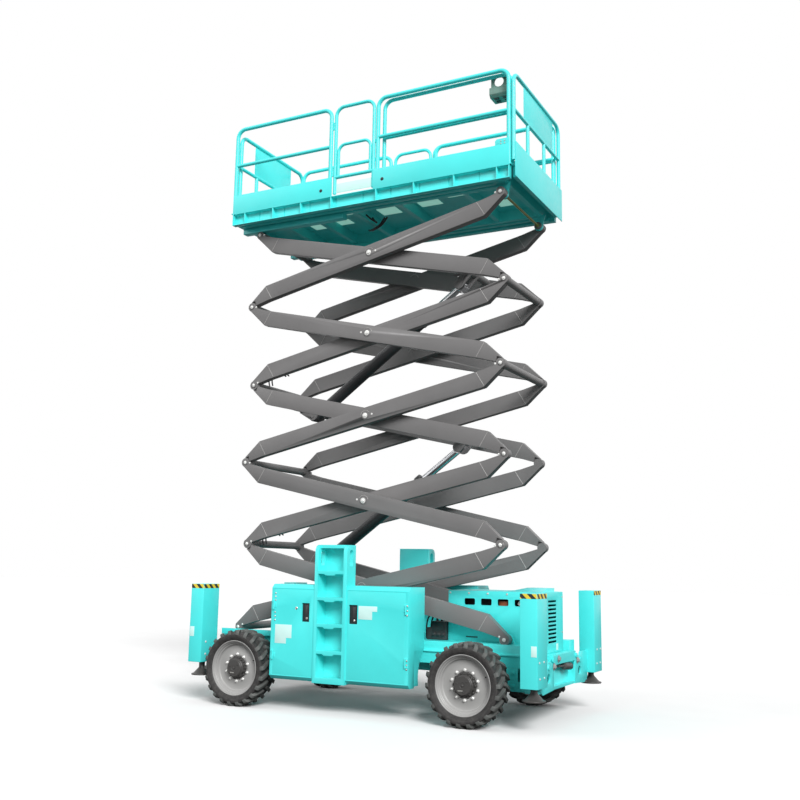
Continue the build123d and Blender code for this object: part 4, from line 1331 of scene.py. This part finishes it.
def door_fittings(side_name, side):
    """Labels, latches, lock and hinge bolts of one side's doors."""
    left, right = f"{side_name}_left_door", f"{side_name}_right_door"
    door_latch(left, left_latch_x, side)
    door_latch(right, right_latch_x, side)
    stepped_label(left, (-0.925, -0.706), (0.722, 0.926), side, 0.070, 0.060)
    stepped_label(right, (0.140, 0.367), (1.020, 1.160), side, 0.060, 0.085)
    lock = [(0, 0), (0.016, 0), (0.016, 0.004), (0.012, 0.007), (0.0115, 0.004), (0, 0.004)]
    spot = (-0.650, side * (cabinet_face_y - 0.0002), 1.111)
    turned_piece(f"{left}_lock", spot, (0, side, 0), lock, 24, zinc, left)
    hinge_bolts(left, side, -0.932, 0.0002, (1.266, 1.228, 1.190, 1.056, 1.014, 0.972), left)
    hinge_bolts(right, side, 0.727, 0.0042, (1.178, 1.128, 1.080, 0.622, 0.578, 0.534), "root")


def door_seals():
    """Shallow returns behind the doors' gaps."""
    gap = 0.0046
    low, high = cabinet_bottom_z + cabinet_chamfer + 0.0102, cabinet_top_z - cabinet_chamfer - 0.0102
    strips = []
    for side in (-1, 1):
        y = from_face(side, -0.0015, -0.0170)
        for x0, x1 in ((cabinet_left_x + 0.0342, -0.4192), (0.0002, cabinet_right_x - 0.0342)):
            strips += [((x0, x0 + gap), y, (low, high), 0), ((x1 - gap, x1), y, (low, high), 0),
                       ((x0 + gap, x1 - gap), y, (low, low + gap), 0),
                       ((x0 + gap, x1 - gap), y, (high - gap, high), 0)]
    blocks_piece("door_seals", strips, paint, "root")


def ladder_tabs():
    """Small folded tabs below the steps' lips."""
    shapes = bmesh.new()
    middle = (ladder_left_x + ladder_right_x) / 2 - 0.010
    for index in range(1, step_count):
        z = first_step_z + index * ladder_step - 0.033
        outline = moved([(-0.075, 0), (0.075, 0), (0.055, -0.018), (-0.055, -0.018)], middle, z)
        for side in (-1, 1):
            side_prism(shapes, outline, side, -ladder_front_y - 0.0005, -ladder_front_y - 0.0085, 0.001)
    finished("ladder_step_tabs", shapes, paint, "root")


def outrigger_bands():
    """Warning bands round the housings' tops."""
    heights = (outrigger_top_z - 0.050, outrigger_top_z - 0.002)
    bands = []
    for x0 in (rear_outrigger_x, outrigger_right_x):
        x1 = x0 + outrigger_length
        for side in (-1, 1):
            face = (side * (outrigger_outer_y + 0.0002), side * (outrigger_outer_y + plate_skin))
            bands.append(((x0 + 0.003, x1 - 0.003), face, heights, 0))
            if side < 0 or x0 > 0:
                across = (side * (outrigger_inner_y + 0.003), side * (outrigger_outer_y - 0.003))
                bands.append(((x1 + 0.0002, x1 + plate_skin), across, heights, 0))
    blocks_piece("outrigger_bands", bands, stripes, "root")


def outrigger_labels():
    """Blank labels on the housings and the hood's end."""
    plates = []
    for side in (-1, 1):
        y = (side * (outrigger_outer_y + 0.0002), side * (outrigger_outer_y + plate_skin))
        plates.append(((2.088, 2.147), y, (0.737, 0.840), 0.0003))
        plates.append(((-2.112, -2.052), y, (0.743, 0.854), 0.0003))
    plates.append(((1.9582, 1.9594), (0.045, 0.110), (0.720, 0.790), 0.0003))
    blocks_piece("outrigger_labels", plates, pale_label, "root")


def outrigger_bolts():
    spots = []
    front, rear = outrigger_right_x + outrigger_length, rear_outrigger_x + outrigger_length
    for side in (-1, 1):
        for y in (1.053, 0.921):
            spots.append(((front, side * y, 0.680), (1, 0, 0), 0.0075))
            spots.append(((front, side * (y - 0.011), 0.525), (1, 0, 0), 0.0075))
        for z in (0.680, 0.542):
            spots.append(((rear, side * 1.030, z), (1, 0, 0), 0.0085))
            spots.append(((rear_outrigger_x, side * 1.030, z), (-1, 0, 0), 0.0085))
    bolt_heads("outrigger_bolts", spots, "root", bright)


def jack_foot(name, x, side):
    """Leg and coned foot of one outrigger."""
    y = side * (outrigger_inner_y + outrigger_outer_y) / 2
    shapes = bmesh.new()
    block(shapes, around(x, 0.0545), around(y, 0.0545), (0.452, 1.300), 0.004)
    foot = [(0, 0.010), (0.090, 0.010), (0.098, 0), (0.116, 0), (0.118, 0.006), (0.116, 0.014),
            (0.094, 0.020), (0.040, 0.078), (0.034, 0.090), (0.034, 0.170), (0, 0.170)]
    turned(shapes, (x, y, 0.300), (0, 0, 1), foot, 36)
    dressed(f"{name}_jack", shapes, black)


def hood_fittings():
    """Rounded window surrounds, a near-black sheet of painted shade behind them, the hood's bolts and a
    near-black strip of painted shade for its lower slot.
    """
    face = -engine_half
    surrounds = bmesh.new()
    for index in range(window_count):
        x = first_window_x + index * window_pitch
        outer = moved(round_rect(0.142, 0.086, 0.004), x, window_z)
        inner = moved(round_rect(0.124, 0.070, 0.016), x, window_z)
        sheet_ring(surrounds, outer, inner, face - 0.0012, face + 0.0070)
    finished("hood_window_surrounds", surrounds, paint, "root")
    manifold = ((1.46, 1.585), (face + 0.045, face + 0.120), (1.150, 1.236), 0.008)
    blocks_piece("engine_manifold", [manifold], orange, "root")
    can = [(0, 0), (0.022, 0), (0.026, 0.006), (0.026, 0.050), (0, 0.050)]
    place = (1.690, face + 0.060, 1.215)
    turned_piece("engine_filter", place, (0, 1, 0), can, 24, bright, "root")
    # Painted shade: a near-black sheet behind the windows where the hood's inside lies in shade.
    back = ((0.93, 1.93), (face + 0.135, face + 0.141), (0.72, 1.32), 0)
    blocks_piece("engine_painted_shade", [back], painted_shade, "root")
    spots = [((x, face, 1.310), (0, -1, 0), 0.0075) for x in (0.905, 1.127, 1.347, 1.569, 1.790)]
    spots += [((engine_right_x, y, z), (1, 0, 0), 0.0065) for y in (-0.385, 0.255) for z in (0.90, 1.28)]
    bolt_heads("hood_bolts", spots, "root", zinc)
    # Painted shade: a near-black strip on the hood's face stands for the slot's shadow.
    slot = ((1.095, 1.231), around(face, 0.0010), (0.842, 0.855), 0.0003)
    blocks_piece("hood_slot_shade", [slot], painted_shade, "root")


def frame_side_plates():
    """Plates that hang from the frame's rails at the front end, with their bolts."""
    outline = [(1.640, 0.5695), (1.663, 0.360), (1.690, 0.338), (1.972, 0.338), (1.972, 0.5695)]
    shapes = bmesh.new()
    for side in (-1, 1):
        side_prism(shapes, outline, side, 0.620, 0.632, 0.002)
    finished("frame_side_plates", shapes, paint, "root")
    spots = [((1.713, side * 0.632, z), (0, side, 0), 0.016) for side in (-1, 1) for z in (0.523, 0.398)]
    bolt_heads("frame_side_bolts", spots, "root", paint)


def end_beam_fittings():
    """Bosses and damper on the front end beam."""
    places = ((-0.368, 0.587), (0.440, 0.595), (-0.215, 0.655))
    spots = [((2.0665, y, z), (1, 0, 0), 0.024) for y, z in places]
    bolt_heads("end_beam_bosses", spots, "root", rim_grey, height=0.7, washer=1.25)
    damper = [(0, 0), (0.012, 0), (0.012, 0.180), (0.036, 0.186), (0.040, 0.200), (0.040, 0.400),
              (0.034, 0.414), (0.020, 0.420), (0, 0.420)]
    turned_piece("end_beam_damper", (2.045, -0.162, 0.572), (0, 0.421, -0.029), damper, 28, black, "root",
                 40)


def valve_block():
    """Hydraulic valve block and its hose ends between the cabinet and the hood."""
    shapes = bmesh.new()
    block(shapes, (0.700, 0.880), (-0.455, -0.300), (0.8002, 1.000), 0.008)
    block(shapes, (0.640, 0.705), (-0.450, -0.330), (0.8002, 0.930), 0.006)
    block(shapes, (0.720, 0.860), (-0.462, -0.453), (0.905, 0.985), 0.004)
    front = [(0, 0), (0.017, 0), (0.017, 0.016), (0.012, 0.018), (0.012, 0.034), (0, 0.036)]
    upper = [(0, 0), (0.014, 0), (0.014, 0.018), (0.010, 0.020), (0.010, 0.030), (0, 0.032)]
    for x in (0.735, 0.790, 0.845):
        turned(shapes, (x, -0.453, 0.860), (0, -1, 0), front, 16)
        turned(shapes, (x, -0.380, 0.998), (0, 0, 1), upper, 16)
    finished("valve_block", shapes, black, "root")
    loop = [(0, -0.380, 1.010), (0, -0.385, 1.055), (-0.030, -0.395, 1.075), (-0.090, -0.400, 1.050),
            (-0.120, -0.400, 0.960), (-0.120, -0.400, 0.805)]
    hoses("valve_hoses", [[(start + x, y, z) for x, y, z in loop] for start in (0.735, 0.790)], 0.009, "root")


def platform_hoses():
    """Hoses clipped under the deck near the middle."""
    sweep = [(-0.52, 0.10, 0.012), (-0.46, 0.02, -0.030), (-0.35, -0.08, -0.055), (-0.22, -0.16, -0.045),
             (-0.12, -0.22, 0.012)]
    loop = [(-0.28, -0.40, 0.012), (-0.20, -0.42, -0.060), (-0.16, -0.36, -0.085), (-0.20, -0.30, -0.060),
            (-0.26, -0.28, 0.012)]
    routes = [[(x + shift, y, deck_bottom_z + z) for x, y, z in route]
              for route, shift in ((sweep, 0.0), (sweep, 0.035), (loop, 0.0))]
    hoses("deck_hoses", routes, 0.011, "platform")


def arm_hoses(level):
    """Short hose loops clipped to an inner arm's end."""
    y = -(inner_arm_y - half_thickness - 0.010)
    spots = [(0.42, -0.02), (0.33, 0.075), (0.24, 0.085), (0.17, 0.02), (0.16, -0.055)]
    routes = [[arm_point("inner", level, along + shift, off, y + depth) for along, off in spots]
              for shift, depth in ((0, 0), (0.03, 0.024))]
    hoses(f"arm_hoses_{level}", routes, 0.0085, body_of_node[f"inner_arms_{level}"])


deck_side_ribs()
glowing_deck_sheets()
toe_board_fittings()
control_station()
for name, side in both_sides:
    door_fittings(name, side)
    jack_foot(f"front_{name}", outrigger_right_x + outrigger_length / 2, side)
    jack_foot(f"rear_{name}", rear_outrigger_x + outrigger_length / 2, side)
door_seals()
ladder_tabs()
outrigger_bands()
outrigger_labels()
outrigger_bolts()
hood_fittings()
frame_side_plates()
end_beam_fittings()
valve_block()
platform_hoses()
arm_hoses(2)
arm_hoses(4)


# Stage, light and camera

def stage_floor():
    """A wide pale floor that keeps the machine's shadow."""
    mesh = bpy.data.meshes.new("floor")
    reach = 60.0
    corners = [(-reach, -reach, 0), (reach, -reach, 0), (reach, reach, 0), (-reach, reach, 0)]
    mesh.from_pydata(corners, [], [(0, 1, 2, 3)])
    material, tree, shader, place = shader_tree("pale_floor")
    pale = mixed(tree, patchy(tree, place, 0.7, 2.0), (0.93, 0.93, 0.93), (0.96, 0.96, 0.96))
    rays = tree.nodes.new("ShaderNodeLightPath")
    tone = mixed(tree, rays.outputs["Is Camera Ray"], (0.11, 0.11, 0.11), pale)
    tree.links.new(tone, shader.inputs["Base Color"])
    set_inputs(shader, Roughness=0.9, Specular_IOR_Level=0.1)
    mesh.materials.append(material)
    in_scene("floor", mesh)


def studio_world():
    """White where the camera or a reflection sees it, softer as light."""
    world = bpy.data.worlds.new("studio")
    bpy.context.scene.world = world
    world.use_nodes = True
    tree = world.node_tree
    tree.nodes.clear()
    out = tree.nodes.new("ShaderNodeOutputWorld")
    rays = tree.nodes.new("ShaderNodeLightPath").outputs
    seen = worked_out(tree, "MAXIMUM", rays["Is Camera Ray"], rays["Is Glossy Ray"])
    soft = added(tree, "ShaderNodeBackground", Color=(1.0, 1.0, 1.0, 1.0), Strength=0.46)
    white = added(tree, "ShaderNodeBackground", Color=(1.0, 1.0, 1.0, 1.0), Strength=1.0)
    mix = tree.nodes.new("ShaderNodeMixShader")
    wired(tree, (seen, mix.inputs["Fac"]), (soft.outputs[0], mix.inputs[1]),
          (white.outputs[0], mix.inputs[2]), (mix.outputs[0], out.inputs["Surface"]))


def sun(name, towards, strength, angle):
    """A wide sun that stands in the given direction."""
    data = bpy.data.lights.new(name, "SUN")
    data.energy = strength
    data.angle = radians(angle)
    in_scene(name, data).rotation_euler = Vector(towards).to_track_quat("Z", "Y").to_euler()


def studio_camera():
    """The photo's camera, fitted to its outline."""
    data = bpy.data.cameras.new("camera")
    data.lens = 44.01
    data.sensor_width = 36.0
    data.sensor_fit = "HORIZONTAL"
    camera = in_scene("camera", data)
    azimuth, pitch, roll = radians(27.547), radians(9.568), radians(0.975)
    forward = Vector((-sin(azimuth) * cos(pitch), cos(azimuth) * cos(pitch), sin(pitch)))
    right = Vector((cos(azimuth), sin(azimuth), 0))
    up = right.cross(forward)
    across = right * cos(roll) + up * sin(roll)
    upward = up * cos(roll) - right * sin(roll)
    turn = Matrix((across, upward, -forward)).transposed().to_4x4()
    camera.matrix_world = Matrix.Translation((5.447, -10.398, 1.601)) @ turn
    bpy.context.scene.camera = camera


stage_floor()
studio_world()
sun("key", (0.58, -0.62, 0.53), 3.5, 24)
sun("fill", (-0.7, -0.5, 0.5), 0.5, 40)
studio_camera()
bpy.context.scene.view_settings.view_transform = "Standard"
